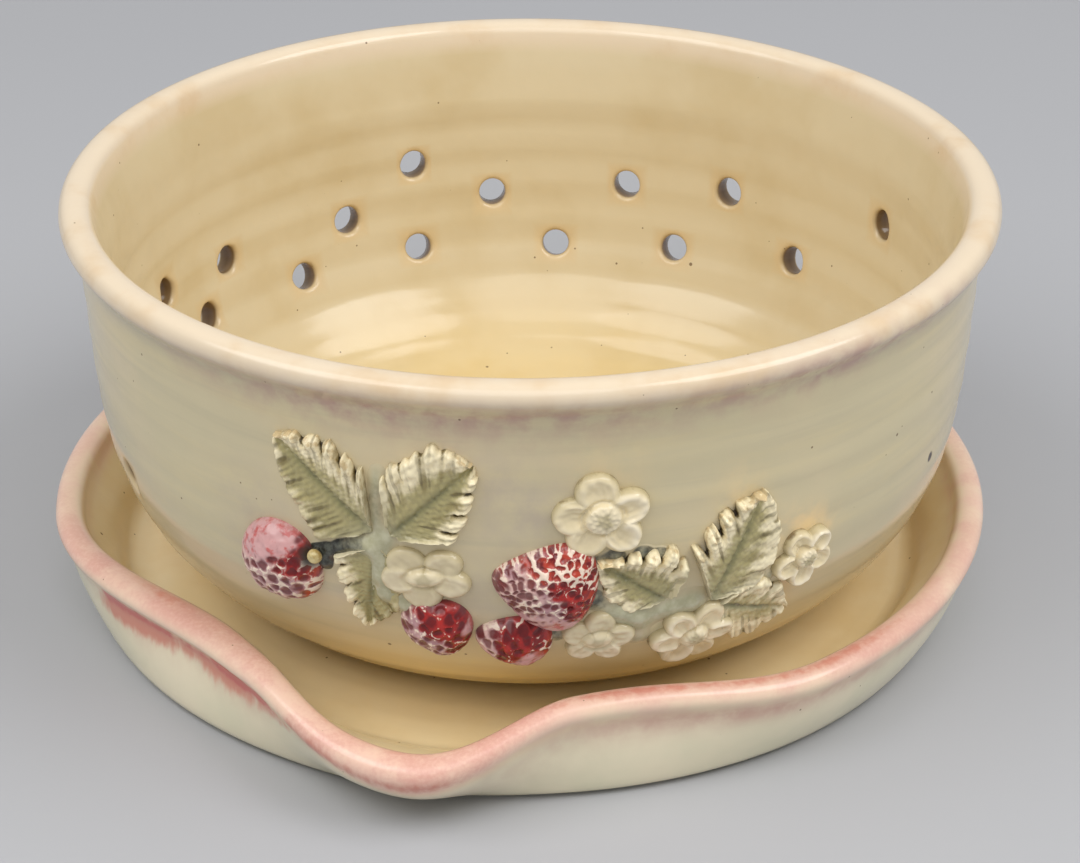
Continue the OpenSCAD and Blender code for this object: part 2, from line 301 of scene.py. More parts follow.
def makeStudio():
    world = bpy.data.worlds.new("studio")
    world.use_nodes = True
    background = world.node_tree.nodes["Background"]
    background.inputs["Color"].default_value = (1, 1, 1, 1)
    background.inputs["Strength"].default_value = studio["world"]
    bpy.context.scene.world = world
    bpy.context.scene.view_settings.view_transform = "Standard"
    for name, lamp in studio["lamps"].items():
        light = bpy.data.lights.new(name, "AREA")
        light.shape = "DISK"
        light.size = lamp["size"] * mm
        light.energy = lamp["power"]
        holder = bpy.data.objects.new(name, light)
        holder.location = [p * mm for p in lamp["place"]]
        holder.rotation_euler = (-holder.location).to_track_quat("-Z", "Y").to_euler()
        bpy.context.scene.collection.objects.link(holder)
    paper = studio["floor"]
    half = paper["size"] / 2 * mm
    corners = [(-half, -half, 0), (half, -half, 0), (half, half, 0), (-half, half, 0)]
    mesh = bpy.data.meshes.new("floor")
    mesh.from_pydata(corners, [], [(0, 1, 2, 3)])
    material, wire = newMaterial("floorPaper")
    colour = wire.noise(paper["patch"], 2).pick(paper["shadeLow"], paper["shade"])
    shader = wire.tree.nodes["Principled BSDF"]
    wire.tree.links.new(colour.socket, shader.inputs["Base Color"])
    shader.inputs["Roughness"].default_value = paper["rough"]
    mesh.materials.append(material)
    floor = bpy.data.objects.new("floor", mesh)
    bpy.context.scene.collection.objects.link(floor)


makeStudio()
print("studio and camera ready")

# The bowl's sizes, in millimetres: outside sizes from the frame, the section as thrown
bowlLow, bowlHigh = (np.array(corner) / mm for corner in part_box("colander_bowl"))
bowl = {
    "middle": (bowlLow + bowlHigh)[:2] / 2,
    "foot": bowlLow[2],
    "height": bowlHigh[2] - bowlLow[2],
    "rimR": (bowlHigh - bowlLow)[0] / 2,
    "wall": 6, "floor": 6.5, "lean": 4, "bellyIn": 23.4, "bellyHeight": 61, "bellyBevel": 1.8,
    "rimWidth": 7, "rimRound": 2.8, "rimOut": 3.4,
    "footR": 50, "footWidth": 6, "footHeight": 3, "notchWidth": 10, "notchHeight": 1.6, "notches": 4,
    "columns": 360, "rowStep": 1.6, "floorRows": 24, "floorFlat": 40,
    # the inner wall follows the outer one from this far above the foot ring to this far below the neck
    "insideFrom": 3.5, "insideTo": 7,
    # slow wobbles of the wall and of the rim: size, waves round the bowl and start
    "wobble": [(0.16, 2, 0.6), (0.1, 3, 2)], "rimWobble": (0.2, 2, 2.4),
    # rings left by the potter's fingers: depth, spacing and drift round the wall
    "ringsOutside": [(0.1, 8.5, 1), (0.04, 2.6, -1)],
    "ringsInside": [(0.26, 9.5, 1), (0.1, 4.2, 1), (0.04, 1.9, -1)],
}
neckR = bowl["rimR"] - bowl["rimOut"]
neckZ = bowl["height"] - 2 * bowl["rimRound"]

# Drain holes: their size, the circle of holes in the floor, then the holes in the wall as direction round
# the bowl and height above the foot
drains = {
    "radius": 3.2, "edge": 1.1, "reach": 4.7, "floorRing": 22, "floorCount": 6,
    "wallHoles": [
        (109, 52), (96.3, 43.4), (120.8, 41.1), (144.9, 42), (161.3, 43.9), (151.5, 31.5), (109, 31),
        (74.6, 46.3), (57.3, 48.8), (25.2, 56.2), (-154.5, 34.8), (130, 30.2), (86, 30.2),
        (66, 31.9), (44, 37), (6, 40.3), (-12, 31.9), (177, 32.8), (-169, 42),
    ],
}


# Wall: leans in below the rim, and the belly draws in with the fourth power of the way down
def bellyShare(z):
    return np.maximum(0, (bowl["bellyHeight"] + bowl["footHeight"] - z) / bowl["bellyHeight"])


def wallR(z):
    return neckR - bowl["lean"] * (1 - z / neckZ) - bowl["bellyIn"] * bellyShare(z) ** 4


def wallSlope(z):
    return bowl["lean"] / neckZ + 4 * bowl["bellyIn"] / bowl["bellyHeight"] * bellyShare(z) ** 3


def wallCos(z):
    return 1 / np.sqrt(1 + wallSlope(z) ** 2)


# Points round the bowl's axis
def roundAxis(r, angle, z):
    x, y = bowl["middle"]
    return np.stack([x + r * np.cos(angle), y + r * np.sin(angle), bowl["foot"] + z], -1)


# A point of a sprig: u round and v up along the wall from its middle, h out from the wall
def onWall(turn, height, u, v, h):
    middleZ = height - bowl["foot"]
    z = middleZ + v * wallCos(middleZ)
    out = h * wallCos(z)
    return roundAxis(wallR(z) + out, np.radians(turn) + u / wallR(z), z - out * wallSlope(z))


# Closed section of the bowl as radius and height, from the drain in its middle round by the foot ring,
# the outer wall, the rim, the inner wall and the floor, and back through the drain
def bowlSection():
    foot, footH = bowl["footR"], bowl["footHeight"]
    floorZ = footH + bowl["floor"]
    edge, hole = drains["edge"], drains["radius"]
    floorR = np.linspace(hole + edge, bowl["floorFlat"], bowl["floorRows"])
    # the foot ring's two flanks mirror each other: way in from the flank, and height
    flank = [(-2, footH), (-0.7, footH - 0.3), (0, footH - 1), (0.2, 0.9), (0.8, 0.2), (1.8, 0)]
    inner = foot - bowl["footWidth"]
    ring = [(inner + way, z) for way, z in flank] + [((inner + foot) / 2, 0)]
    ring = np.array(ring + [(foot - way, z) for way, z in flank[::-1]])
    bellyZ = footH + bowl["bellyBevel"]
    under = profile(np.linspace(foot + 4, wallR(bellyZ) - 3.6, 6), footH)
    # wall heights at even steps along the slope
    fine = np.linspace(bellyZ, neckZ - 1.5, 400)
    along = np.cumsum(np.append(0, np.hypot(np.diff(fine), np.diff(wallR(fine)))))
    wallZ = np.interp(np.linspace(0, along[-1], int(along[-1] / bowl["rowStep"])), along, fine)
    rimZ = bowl["height"] - bowl["rimRound"]
    rimOuter = arc((bowl["rimR"] - bowl["rimRound"], rimZ), bowl["rimRound"], -48, 80, 9)
    rimInner = arc((bowl["rimR"] - bowl["rimWidth"] + bowl["rimRound"], rimZ), bowl["rimRound"], 100, 200, 7)
    paired = wallZ[(wallZ > footH + bowl["insideFrom"]) & (wallZ < neckZ - bowl["insideTo"])][::-1]
    wallIn = bowl["wall"] * wallCos(paired)
    inside = profile(wallR(paired) - wallIn, paired + wallIn * wallSlope(paired))
    floorOuter = profile(np.linspace(inside[-1, 0] - 4.5, bowl["floorFlat"] + 1.8, 9), floorZ)
    edgeTurn = np.radians([30, 60, 90])
    topEdge = profile(hole + edge * (1 - np.sin(edgeTurn)), floorZ - edge * (1 - np.cos(edgeTurn)))
    lowEdge = profile(topEdge[::-1, 0], footH + edge * (1 - np.cos(edgeTurn[::-1])))
    parts = [profile(floorR, footH), ring, under, profile(wallR(wallZ), wallZ), rimOuter, rimInner, inside,
             floorOuter, profile(floorR, floorZ)[::-1], topEdge, lowEdge]
    starts = np.cumsum([0] + [len(part) for part in parts])
    wallRow, rimRow, insideRow, floorRow, drainRow, endRow = starts[[3, 5, 6, 7, 9, 11]]
    # 0 on the outside, 1 on the inside, rising over the rim, and half in the drain
    depth = np.concatenate([np.zeros(rimRow), np.linspace(0.3, 0.8, insideRow - rimRow),
                            np.ones(drainRow - insideRow), np.full(endRow - drainRow, 0.5)])
    skipped = int(np.searchsorted(wallZ, paired[-1]))
    return soften(np.concatenate(parts), 2, True), depth, {
        "wallRow": wallRow, "wallZ": wallZ, "wallPair": wallRow + skipped + floorRow - 1,
        "floorPair": drainRow - 1, "floorR": floorR, "drainRow": drainRow,
    }


# The section is turned round the axis and pressed with finger rings along its normal
def turnBowl(section, depth):
    angle = roundSteps(bowl["columns"])[None, :]
    way = np.roll(section, -1, 0) - np.roll(section, 1, 0)
    way = way / np.linalg.norm(way, axis=1, keepdims=True)
    r, z = section[:, :1], section[:, 1:]
    onRim = smoothStep(neckZ - 6, neckZ + 2, z)
    onFoot = 1 - smoothStep(3.5, 9, z)
    press = 0
    for rings, mask in ((bowl["ringsOutside"], 1 - depth), (bowl["ringsInside"], depth)):
        # a slow change round the wall makes the rings come and go
        swell = 0.75 + 0.25 * np.sin(2 * angle + 0.05 * z)
        for amount, spacing, drift in rings:
            wave = np.sin(2 * np.pi * (z + 0.35 * r) / spacing + drift * angle)
            press = press + amount * wave * swell * mask[:, None]
    press = press * (1 - onRim) * (1 - onFoot * (1 - np.round(depth)[:, None]))
    press = press * smoothStep(5, 9, np.broadcast_to(r, press.shape))
    wobble = sum(size * np.sin(waves * angle + start) for size, waves, start in bowl["wobble"])
    r = r + press * way[:, 1:] + wobble * smoothStep(20, 80, z)
    size, waves, start = bowl["rimWobble"]
    z = z - press * way[:, :1] + size * np.sin(waves * angle + start) * smoothStep(60, 84, z)
    turn = turnBetween(360 / bowl["notches"] / 2, np.degrees(angle) % (360 / bowl["notches"]))
    half = bowl["notchWidth"] / 2
    notch = 1 - smoothStep(half - 1, half + 1, abs(np.radians(turn)) * bowl["footR"])
    inRing = (r < bowl["footR"] + 1.5) & (r > bowl["footR"] - bowl["footWidth"] - 1.5)
    z = np.where(inRing & (z < bowl["notchHeight"]), z + (bowl["notchHeight"] - z) * notch, z)
    return roundAxis(r, angle, z)


# A point between the grid's rows and columns
def between(grid, row, col):
    cols = grid.shape[1]
    i, j = np.floor(row).astype(int), np.floor(col).astype(int)
    a, b = (row - i)[:, None], (col - j)[:, None]
    low = grid[i, j % cols] * (1 - b) + grid[i, (j + 1) % cols] * b
    high = grid[i + 1, j % cols] * (1 - b) + grid[i + 1, (j + 1) % cols] * b
    return low * (1 - a) + high * a


# A drain takes out a block of cells on both faces of the clay and puts in rings: face, rounded edge, bore,
# edge, face. toPlane gives millimetres from the hole's middle for a grid place, and toGrid the way back.
def cutDrain(grid, kept, row, col, pair, toPlane, toGrid, rowReach, colReach):
    cols = grid.shape[1]
    r0, r1 = math.floor(row - rowReach), math.ceil(row + rowReach)
    c0, c1 = math.floor(col - colReach), math.ceil(col + colReach)
    across, up = np.arange(c0, c1), np.arange(r0, r1)
    rows = np.concatenate([np.full(len(across), r0), up, np.full(len(across), r1), up[::-1] + 1])
    colsRound = np.concatenate([across, np.full(len(up), c1), across[::-1] + 1, np.full(len(up), c0)])
    kept[np.ix_(up, across % cols)] = False
    kept[np.ix_(pair - 1 - up, across % cols)] = False
    u, v = toPlane(rows - row, colsRound - col)
    angle = np.arctan2(v, u)
    edge, bore = drains["edge"], drains["radius"]
    turn = np.radians([0, 30, 60, 90])
    edgeR = bore + edge * (1 - np.sin(turn))
    edgeDeep = edge * (1 - np.cos(turn)) / bowl["wall"]
    deep = np.concatenate([edgeDeep, [0.5], 1 - edgeDeep[::-1]])
    rings = []
    for share, reach in zip(deep, np.concatenate([edgeR, [bore], edgeR[::-1]])):
        dRow, dCol = toGrid(reach * np.cos(angle), reach * np.sin(angle))
        face = between(grid, row + dRow, col + dCol)
        back = between(grid, pair - row - dRow, col + dCol)
        rings.append(face * (1 - share) + back * share)
    return rows * cols + colsRound % cols, (pair - rows) * cols + colsRound % cols, np.array(rings), deep


# What cutDrain takes for a hole in the wall: its row and column, the sum of the rows that face each other,
# toPlane and toGrid, and how many rows and columns it reaches
def wallDrain(turn, z, marks):
    rowStep, degreesPerCol = bowl["rowStep"], 360 / bowl["columns"]
    colStep = np.radians(degreesPerCol) * wallR(z)
    row = marks["wallRow"] + np.interp(z, marks["wallZ"], np.arange(len(marks["wallZ"])))
    return (row, turn / degreesPerCol, marks["wallPair"],
            lambda dRow, dCol: (dCol * colStep, dRow * rowStep),
            lambda u, v: (v / rowStep, u / colStep),
            drains["reach"] / rowStep, drains["reach"] / colStep)


# The same for a hole in the floor, where the columns fan out from the middle
def floorDrain(k, marks):
    floorR, ringR = marks["floorR"], drains["floorRing"]
    rowStep, stepTurn = floorR[1] - floorR[0], np.radians(360 / bowl["columns"])

    def toPlane(dRow, dCol):
        r = ringR + dRow * rowStep
        return r * np.sin(dCol * stepTurn), r * np.cos(dCol * stepTurn) - ringR

    def toGrid(u, v):
        return (np.hypot(u, v + ringR) - ringR) / rowStep, np.arctan2(u, v + ringR) / stepTurn

    row = np.interp(ringR, floorR, np.arange(len(floorR)))
    return (row, (k + 1) * bowl["columns"] / drains["floorCount"], marks["floorPair"], toPlane, toGrid,
            drains["reach"] / rowStep, drains["reach"] / (ringR * stepTurn))


def makeBowl(material):
    section, depth, marks = bowlSection()
    grid = turnBowl(section, depth)
    rows, cols = grid.shape[:2]
    kept = np.ones((rows, cols), bool)
    holes = [wallDrain(turn, z, marks) for turn, z in drains["wallHoles"]]
    holes += [floorDrain(k, marks) for k in range(drains["floorCount"])]
    points = [grid.reshape(-1, 3)]
    quads = []
    inside = [np.repeat(depth, cols)]
    total = rows * cols
    for hole in holes:
        faceLoop, backLoop, rings, deep = cutDrain(grid, kept, *hole)
        count = rings.shape[1]
        ringIndex = total + np.arange(rings.shape[0])[:, None] * count + np.arange(count)
        loops = np.concatenate([faceLoop[None], ringIndex, backLoop[None]])
        ahead = np.roll(loops, -1, 1)
        quads.append(np.stack([loops[:-1], ahead[:-1], ahead[1:], loops[1:]], -1).reshape(-1, 4))
        points.append(rings.reshape(-1, 3))
        inside.append(np.repeat(deep, count))
        total += rings.shape[0] * count
    quads.append(gridQuads(rows, cols, True)[kept])
    points, quads, inside = np.concatenate(points), np.concatenate(quads), np.concatenate(inside)
    # 1 on the drain in the middle of the floor and on the rings of the other drains
    onDrain = (np.arange(len(points)) >= marks["drainRow"] * cols).astype(float)
    x, y, z = (points - [*bowl["middle"], bowl["foot"]]).T
    turn = np.degrees(np.arctan2(y, x))
    fields = {
        "inside": inside,
        "rim": smoothStep(neckZ - 1, neckZ + 2.5, z),
        # low: yellower towards the foot, thinner glaze there and partly a painted reflection of the yellow
        # plate
        "low": (1 - smoothStep(4, 31, z)) * (0.45 + 0.55 * smoothStep(3, 8, z)),
        "drain": onDrain,
        # bore carries painted shade, darkening each drain's bore towards its middle
        "bore": onDrain * smoothStep(0.25, 0.7, 4 * inside * (1 - inside)),
        "blush": blushOnBowl(turn, z) * (1 - smoothStep(0.4, 0.8, inside)),
        "tan": hazeOnBowl("tan", turn, z) * (1 - inside),
        "lavender": hazeOnBowl("lavender", turn, z) * (1 - inside),
    }
    makePiece("colanderBowl", points, quads, fields, material, "colander_bowl")


# Pink that ran from the stain under the rim: direction, width, height above the foot, spread and strength
blushes = [(-108, 13, 76.5, 3.5, 0.75), (-84, 14, 77, 3, 0.6), (-58, 12, 78, 3.4, 1), (-128, 10, 77, 3, 0.4),
           (-40, 12, 79.5, 3, 0.8), (-100, 30, 74, 5, 0.3)]


def blushOnBowl(turn, z):
    return sum(strength * bell(turnBetween(middle, turn), width) * bell(z - height, spread)
               for middle, width, height, spread, strength in blushes)


# Tints the sprigs have left on the wall round them, the tan ones lighter than the wall as a painted
# highlight: direction, height above the foot, radius and strength
hazes = {
    "tan": [
        (-57.5, 45, 4, 0.9), (-54, 44.5, 4, 0.9), (-51, 42, 3, 0.7), (-57, 30, 6, 0.6),
        (-81.6, 64, 8, 0.4), (-65, 57, 5, 0.5), (-105, 62, 7, 0.35), (-62, 22, 8, 0.5),
    ],
    "lavender": [
        (-124, 50, 9, 0.5), (-89, 56, 9, 0.6), (-112, 33, 6, 0.4), (-95, 38, 7, 0.5),
        (-96, 62, 10, 0.4), (-127, 36, 6, 0.5),
    ],
}


def hazeOnBowl(kind, turn, z):
    total = 0
    for middle, height, radius, strength in hazes[kind]:
        away = np.hypot(np.radians(turnBetween(middle, turn)) * neckR, z - height)
        total = total + strength * bell(away, radius)
    return np.clip(total, 0, 1)


# fleck is an iron spot in the glaze: direction, height above the foot and radius
bowlLook = {
    "outside": tint(217, 201, 164), "outsideCool": tint(208, 196, 160), "streak": tint(220, 204, 159),
    "streakGrey": tint(192, 182, 152), "inside": tint(217, 201, 166), "insideWarm": tint(209, 190, 150),
    # low is the yellow of thinner glaze near the foot, partly a painted reflection of the plate
    "low": tint(236, 202, 120), "rim": tint(228, 210, 183), "rimTan": tint(219, 192, 155),
    # tan is a sprig tint made lighter than the wall, partly a painted highlight
    "blush": tint(190, 152, 140), "tan": tint(244, 214, 160), "lavender": tint(190, 175, 158),
    # bore is a painted shade colour for inside the drains
    "drain": tint(214, 186, 138), "bore": tint(126, 98, 62), "iron": tint(62, 44, 30),
    "fleck": (-28.1, 41.7, 0.7),
}


def bowlGlaze():
    material, wire = newMaterial("bowlGlaze")
    look = bowlLook
    outside = wire.noise(38, 3).step(0.35, 0.65).pick(look["outside"], look["outsideCool"])
    outside = (wire.streaks(40, 7, 4).step(0.45, 0.75) * 0.6).pick(outside, look["streak"])
    outside = (wire.streaks(70, 16, 4).step(0.5, 0.72) * 0.45).pick(outside, look["streakGrey"])
    inside = wire.noise(30, 4).step(0.4, 0.7).pick(look["inside"], look["insideWarm"])
    colour = wire.field("inside").step(0.3, 0.7).pick(outside, inside)
    rimColour = wire.noise(14, 4).step(0.45, 0.8).pick(look["rim"], look["rimTan"])
    colour = wire.field("rim").pick(colour, rimColour)
    # yellower towards the foot: thinner glaze, partly a painted reflection of the plate
    low = wire.field("low") * (wire.noise(12, 3) * 0.5 + 0.6) * (1 - wire.field("inside") * 0.55)
    colour = low.pick(colour, look["low"])
    colour = (wire.field("drain") * 0.55).pick(colour, look["drain"])
    # painted shade inside the drain bores
    colour = wire.field("bore").pick(colour, look["bore"])
    # tan is partly a painted highlight, lighter than the wall
    for key in ("tan", "lavender"):
        colour = (wire.field(key) * wire.noise(6, 4).step(0.25, 0.7)).pick(colour, look[key])
    blush = wire.field("blush") * wire.noise(5, 4).step(0.3, 0.7)
    colour = blush.pick(colour, look["blush"])
    colour = speckle(wire, colour)
    turn, height, radius = look["fleck"]
    colour = wire.spot(onWall(turn, bowl["foot"] + height, 0, 0, 0), radius).pick(colour, look["iron"])
    fire(wire, colour)
    return material


makeBowl(bowlGlaze())
print("bowl thrown and drained")

# The drip plate's sizes, in millimetres. Its rim stands off the bowl's belly by the gap.
plate = {
    "height": 21.3, "floor": 6, "wall": 5, "flare": 5.5, "roll": 2.35, "groove": 1.9, "cove": 5, "bevel": 1.2,
    "gap": 17.3, "bulge": 0.9,
    "spoutTurn": -101, "spoutReach": 7.5, "spoutDrop": 5.6, "spoutSpread": (23, 18), "spoutCove": 0.6,
    "lip": 0.1, "lipSpout": 0.8, "lipWide": 0.8, "lipSwell": 0.9, "leftSwell": 1.3,
    "pinchLeft": 6.6, "leftTurn": -34, "leftSpread": (36, 27),
    "pinchRight": 5.6, "rightTurn": 24, "rightSpread": (25, 25), "pinchLift": 1.5,
    "rings": [(0.1, 6.5), (0.05, 2.4)],
    "columns": 360, "floorRows": 36, "coveRows": 8, "wallRows": 7, "rollRows": 18, "outerRows": 12,
    "baseRows": 14, "bevelStep": 0.35,
}


# The plate's section changes round it: a spout is pulled out and down, and the rim is pinched in beside it
def makePlate(material):
    angle = roundSteps(plate["columns"])
    even = np.ones_like(angle)
    fromSpout = turnBetween(plate["spoutTurn"], np.degrees(angle))
    spout = hump(fromSpout, plate["spoutSpread"])
    left = hump(turnBetween(plate["leftTurn"], fromSpout), plate["leftSpread"])
    right = hump(turnBetween(plate["rightTurn"], fromSpout), plate["rightSpread"])
    coreZ = plate["height"] - plate["roll"]
    coreR = wallR(coreZ - plate["floor"]) + plate["gap"] + plate["roll"]
    baseR = coreR - plate["flare"]
    innerR = baseR - plate["wall"]
    lip = plate["roll"] + plate["lip"] + plate["lipSpout"] * spout
    wide = plate["roll"] + plate["lipWide"] + plate["lipSwell"] * spout + plate["leftSwell"] * left
    coreR = coreR + plate["spoutReach"] * spout - plate["pinchLeft"] * left - plate["pinchRight"] * right
    coreR = coreR + plate["roll"] - wide
    coreZ = coreZ - plate["spoutDrop"] * spout + plate["pinchLift"] * (left + right)
    coveHeight = plate["cove"] * (1 - plate["spoutCove"] * spout)
    # each part of the section is an array of rows by columns, with radius and height
    floorR = np.linspace(0, innerR - plate["cove"], plate["floorRows"])[:, None]
    floor = profile(floorR * even, plate["floor"])
    coveTurn = np.radians(np.linspace(8, 72, plate["coveRows"]))[:, None]
    cove = profile(innerR - plate["cove"] * (1 - np.sin(coveTurn)),
                   plate["floor"] + coveHeight * (1 - np.cos(coveTurn)))
    rollTurn = np.radians(np.linspace(200, -60, plate["rollRows"]))[:, None]
    flat = np.sign(np.cos(rollTurn)) * abs(np.cos(rollTurn)) ** 0.85
    roll = profile(coreR + wide * flat, coreZ + lip * np.sin(rollTurn))
    share = np.linspace(0, 0.9, plate["wallRows"])[:, None, None]
    wall = profile(innerR, plate["floor"] + coveHeight) * (1 - share) + roll[0] * share
    groove = profile(coreR + wide - plate["groove"] * (1 + 0.5 * left), coreZ - 1.45 * lip)
    share = np.linspace(0, 1, plate["outerRows"])[:, None, None]
    outer = groove * (1 - share) + profile(baseR * even, plate["bevel"]) * share
    outer[..., 0] += plate["bulge"] * np.sin(np.pi * share[..., 0])
    # the underside, from two rows on the bevel to the middle
    underR = np.append([baseR - plate["bevelStep"], baseR - plate["bevel"]],
                       np.linspace(baseR - 4, 0, plate["baseRows"]))
    underZ = np.append([plate["bevelStep"], 0], np.zeros(plate["baseRows"]))
    base = profile(underR[:, None] * even, underZ[:, None])
    section = soften(np.concatenate([floor, cove, wall, roll, outer, base]), 4)
    rows = len(section)
    r, z = section[..., 0], section[..., 1]
    rings = sum(amount * np.sin(2 * np.pi * r / spacing + angle) for amount, spacing in plate["rings"])
    onFloor = np.arange(rows)[:, None] < plate["floorRows"]
    z = z + onFloor * rings * smoothStep(4, 12, r)
    points = np.stack([r * np.cos(angle), r * np.sin(angle), z], -1)
    # place across the roll, from the inner edge over the top to the groove
    over = (np.arange(rows)[:, None] * even - len(floor) - len(cove) - len(wall)) / len(roll)
    side = smoothStep(45, 80, abs(fromSpout))
    reachOut = 0.3 * side + 0.36 * spout
    fields = {
        "rose": smoothStep(0.16 + 0.09 * side, 0.32 + 0.06 * side, over)
        * (1 - smoothStep(0.5 + reachOut, 0.85 + 0.66 * reachOut, over)) * (1 - 0.4 * side),
        "lip": smoothStep(-0.16, 0.04, over) * (1 - smoothStep(0.8, 1.1, over)),
        "outer": smoothStep(0.85, 1.05, over),
        **{kind: stainOnPlate(kind, fromSpout, over) for kind in stains},
    }
    fields = {key: value.ravel() for key, value in fields.items()}
    makePiece("dripPlate", points, gridQuads(rows, plate["columns"]), fields, material,
              "drip_plate", "plate")


# Rose on and under the roll: a dark line in the groove, what bled from it, and a soft haze.
# Each row is turn from the spout, width, place across the roll, spread and strength.
stains = {
    "line": [
        (-51, 4, 0.98, 0.1, 1.1), (-44, 5, 0.98, 0.08, 1), (-36, 6, 0.97, 0.06, 0.8),
        (-27, 5, 0.98, 0.1, 1.2), (-20, 5, 0.98, 0.08, 1), (-90, 20, 0.96, 0.06, 0.3),
    ],
    "bleed": [
        (-50, 5, 1.08, 0.14, 1.15), (-43, 5, 1.05, 0.13, 1.05), (-34, 6, 1.02, 0.1, 0.9),
        (-26, 5, 1.06, 0.14, 1), (-18, 4, 1.03, 0.1, 0.8), (-42, 8, 0.36, 0.1, 0.7),
        (-12, 6, 0.8, 0.14, 0.9), (0, 7, 0.84, 0.12, 0.8), (24, 12, 0.4, 0.12, 0.85),
        (50, 16, 0.4, 0.12, 0.8), (36, 9, 1, 0.06, 0.35),
    ],
    "haze": [
        (-46, 9, 1.12, 0.14, 0.4), (-26, 8, 1.12, 0.14, 0.4), (-40, 16, 0.36, 0.14, 0.6),
        (6, 12, 1.2, 0.2, 0.25), (24, 12, 1.04, 0.13, 0.5), (40, 13, 1, 0.12, 0.65),
        (60, 14, 1, 0.1, 0.45), (40, 30, 0.42, 0.14, 0.4), (-80, 20, 1, 0.1, 0.35),
        (110, 30, 1, 0.1, 0.3), (-140, 30, 1, 0.1, 0.3),
    ],
}


def stainOnPlate(kind, fromSpout, over):
    return sum(strength * bell(turnBetween(middle, fromSpout), width) * bell(over - place, spread)
               for middle, width, place, spread, strength in stains[kind])


plateLook = {
    "floor": tint(240, 222, 178), "floorWarm": tint(234, 211, 160), "outer": tint(235, 224, 195),
    "outerGreen": tint(226, 219, 189), "lip": tint(242, 220, 190), "lipPale": tint(240, 207, 184),
    "rose": tint(239, 197, 177), "roseDeep": tint(224, 170, 154), "stain": tint(204, 108, 98),
    "stainPale": tint(207, 131, 112), "haze": tint(198, 148, 136),
}


def plateGlaze():
    material, wire = newMaterial("plateGlaze")
    look = plateLook
    floor = wire.noise(26, 4).step(0.4, 0.7).pick(look["floor"], look["floorWarm"])
    outer = wire.noise(20, 3).step(0.35, 0.65).pick(look["outer"], look["outerGreen"])
    colour = wire.field("outer").pick(floor, outer)
    lip = wire.noise(10, 3).step(0.4, 0.65).pick(look["lip"], look["lipPale"])
    colour = wire.field("lip").pick(colour, lip)
    # rose in large patches, with a fine grain where it has settled
    patch = wire.noise(14, 3).step(0.35, 0.65)
    grain = (wire.noise(0.8, 3) * 0.8 + patch * 0.35).step(0.3, 0.9)
    rose = grain.pick(look["rose"], look["roseDeep"])
    colour = (wire.field("rose") * (patch * 0.3 + 0.7)).pick(colour, rose)
    haze = wire.field("haze") * (wire.noise(5, 4).step(0.25, 0.75) * 0.6 + 0.4)
    colour = haze.pick(colour, look["haze"])
    # what bled has run down in fine streaks
    bleed = (wire.field("bleed") + wire.streaks(2.4, 0.4, 5) * 1.1 - 0.85).step(0, 0.75)
    colour = (bleed * 0.9).pick(colour, look["stainPale"])
    line = (wire.field("line") + wire.noise(3.5, 5) * 1.2 - 0.95).step(0.1, 0.75)
    colour = line.pick(colour, look["stain"])
    fire(wire, speckle(wire, colour), rough=0.2)
    return material


makePlate(plateGlaze())
print("plate turned, spout pulled")

# Leaves: base on the wall as turn round the bowl and height, heading of the midrib, its length, then the
# tips of the lobes left and right of it, as way along the midrib and way out, in millimetres from the base.
# curl says how far the margins left and right stand up, cut how deep the gaps between the lobes run, and
# pale how much cream the glaze has left there.
leaves = {
    "left_leaf_outer": {
        "turn": -108.2, "height": 56.2, "heading": 139, "length": 25.8, "seed": 3,
        "curl": (0.3, 1), "cut": (0.1, 0.8), "pale": (-0.2, 0.2),
        "left": [(6.3, 11), (9.8, 10), (15.4, 8), (20.4, 5.6)],
        "right": [(10, -9.2), (13.4, -8.9), (17.4, -8.8), (20.6, -6.6), (23.6, -3.9)],
    },
    "left_leaf_inner": {
        "turn": -106.2, "height": 56, "heading": 46, "length": 23.1, "seed": 5,
        "curl": (0.8, 1), "cut": (0.3, 0.95), "pale": (0.05, -0.3),
        "left": [(7.8, 9.4), (11.3, 10.3), (15.4, 9), (20.6, 8.2), (22.5, 4)],
        "right": [(9, -8.8), (12.8, -7.2), (17, -5.4), (21.4, -2.6)],
    },
    "left_leaf_lower": {
        "turn": -107.6, "height": 54, "heading": -101, "length": 20.7, "seed": 8,
        "curl": (0.3, 0.7), "cut": (0.3, 0.6), "pale": (-0.3, -0.1),
        "left": [(7, 6.5), (14.7, 5.8), (17.3, 3.7)],
        "right": [(6.4, -8.4), (10.9, -7), (14.8, -4.8), (18.6, -2.7)],
    },
    "right_leaf_inner": {
        "turn": -73.6, "height": 41.4, "heading": 141, "length": 17.6, "seed": 12,
        "curl": (0.2, 1.5), "cut": (0.3, 1.5), "pale": (0.1, 0.1),
        "left": [(4.3, 6.2), (10.3, 5.8), (14.3, 2.9)],
        "right": [(2.5, -9), (7.2, -10.5), (10, -7.6), (12.6, -5.4), (14.6, -2.9)],
    },
    "right_leaf_upper": {
        "turn": -67.6, "height": 39, "heading": 68, "length": 25.4, "seed": 15,
        "curl": (1.3, 0.3), "cut": (1.5, 0.2), "pale": (0.14, 0.12),
        "left": [(11, 9.8), (15.7, 8.4), (19.6, 6.9), (22.4, 4.2)],
        "right": [(5.5, -8.8), (10.8, -10), (17.2, -8.2), (22.8, -4)],
    },
    "right_leaf_lower": {
        "turn": -66.5, "height": 37.6, "heading": -22, "length": 18, "seed": 19,
        "curl": (0.5, 0.4), "cut": (0.5, 0.3), "pale": (0.24, 0.24),
        "left": [(3, 4.8), (7.6, 7.2), (13.2, 5.8)],
        "right": [(5, -6.4), (10.4, -9.2), (14.6, -7), (16.6, -3.6)],
    },
}
leafShape = {"thickness": 2.3, "thinnest": 0.12, "embed": 0.5, "rows": 220, "columns": 72, "backColumns": 6,
             "tooth": 0.2, "roundFrom": 0.88}


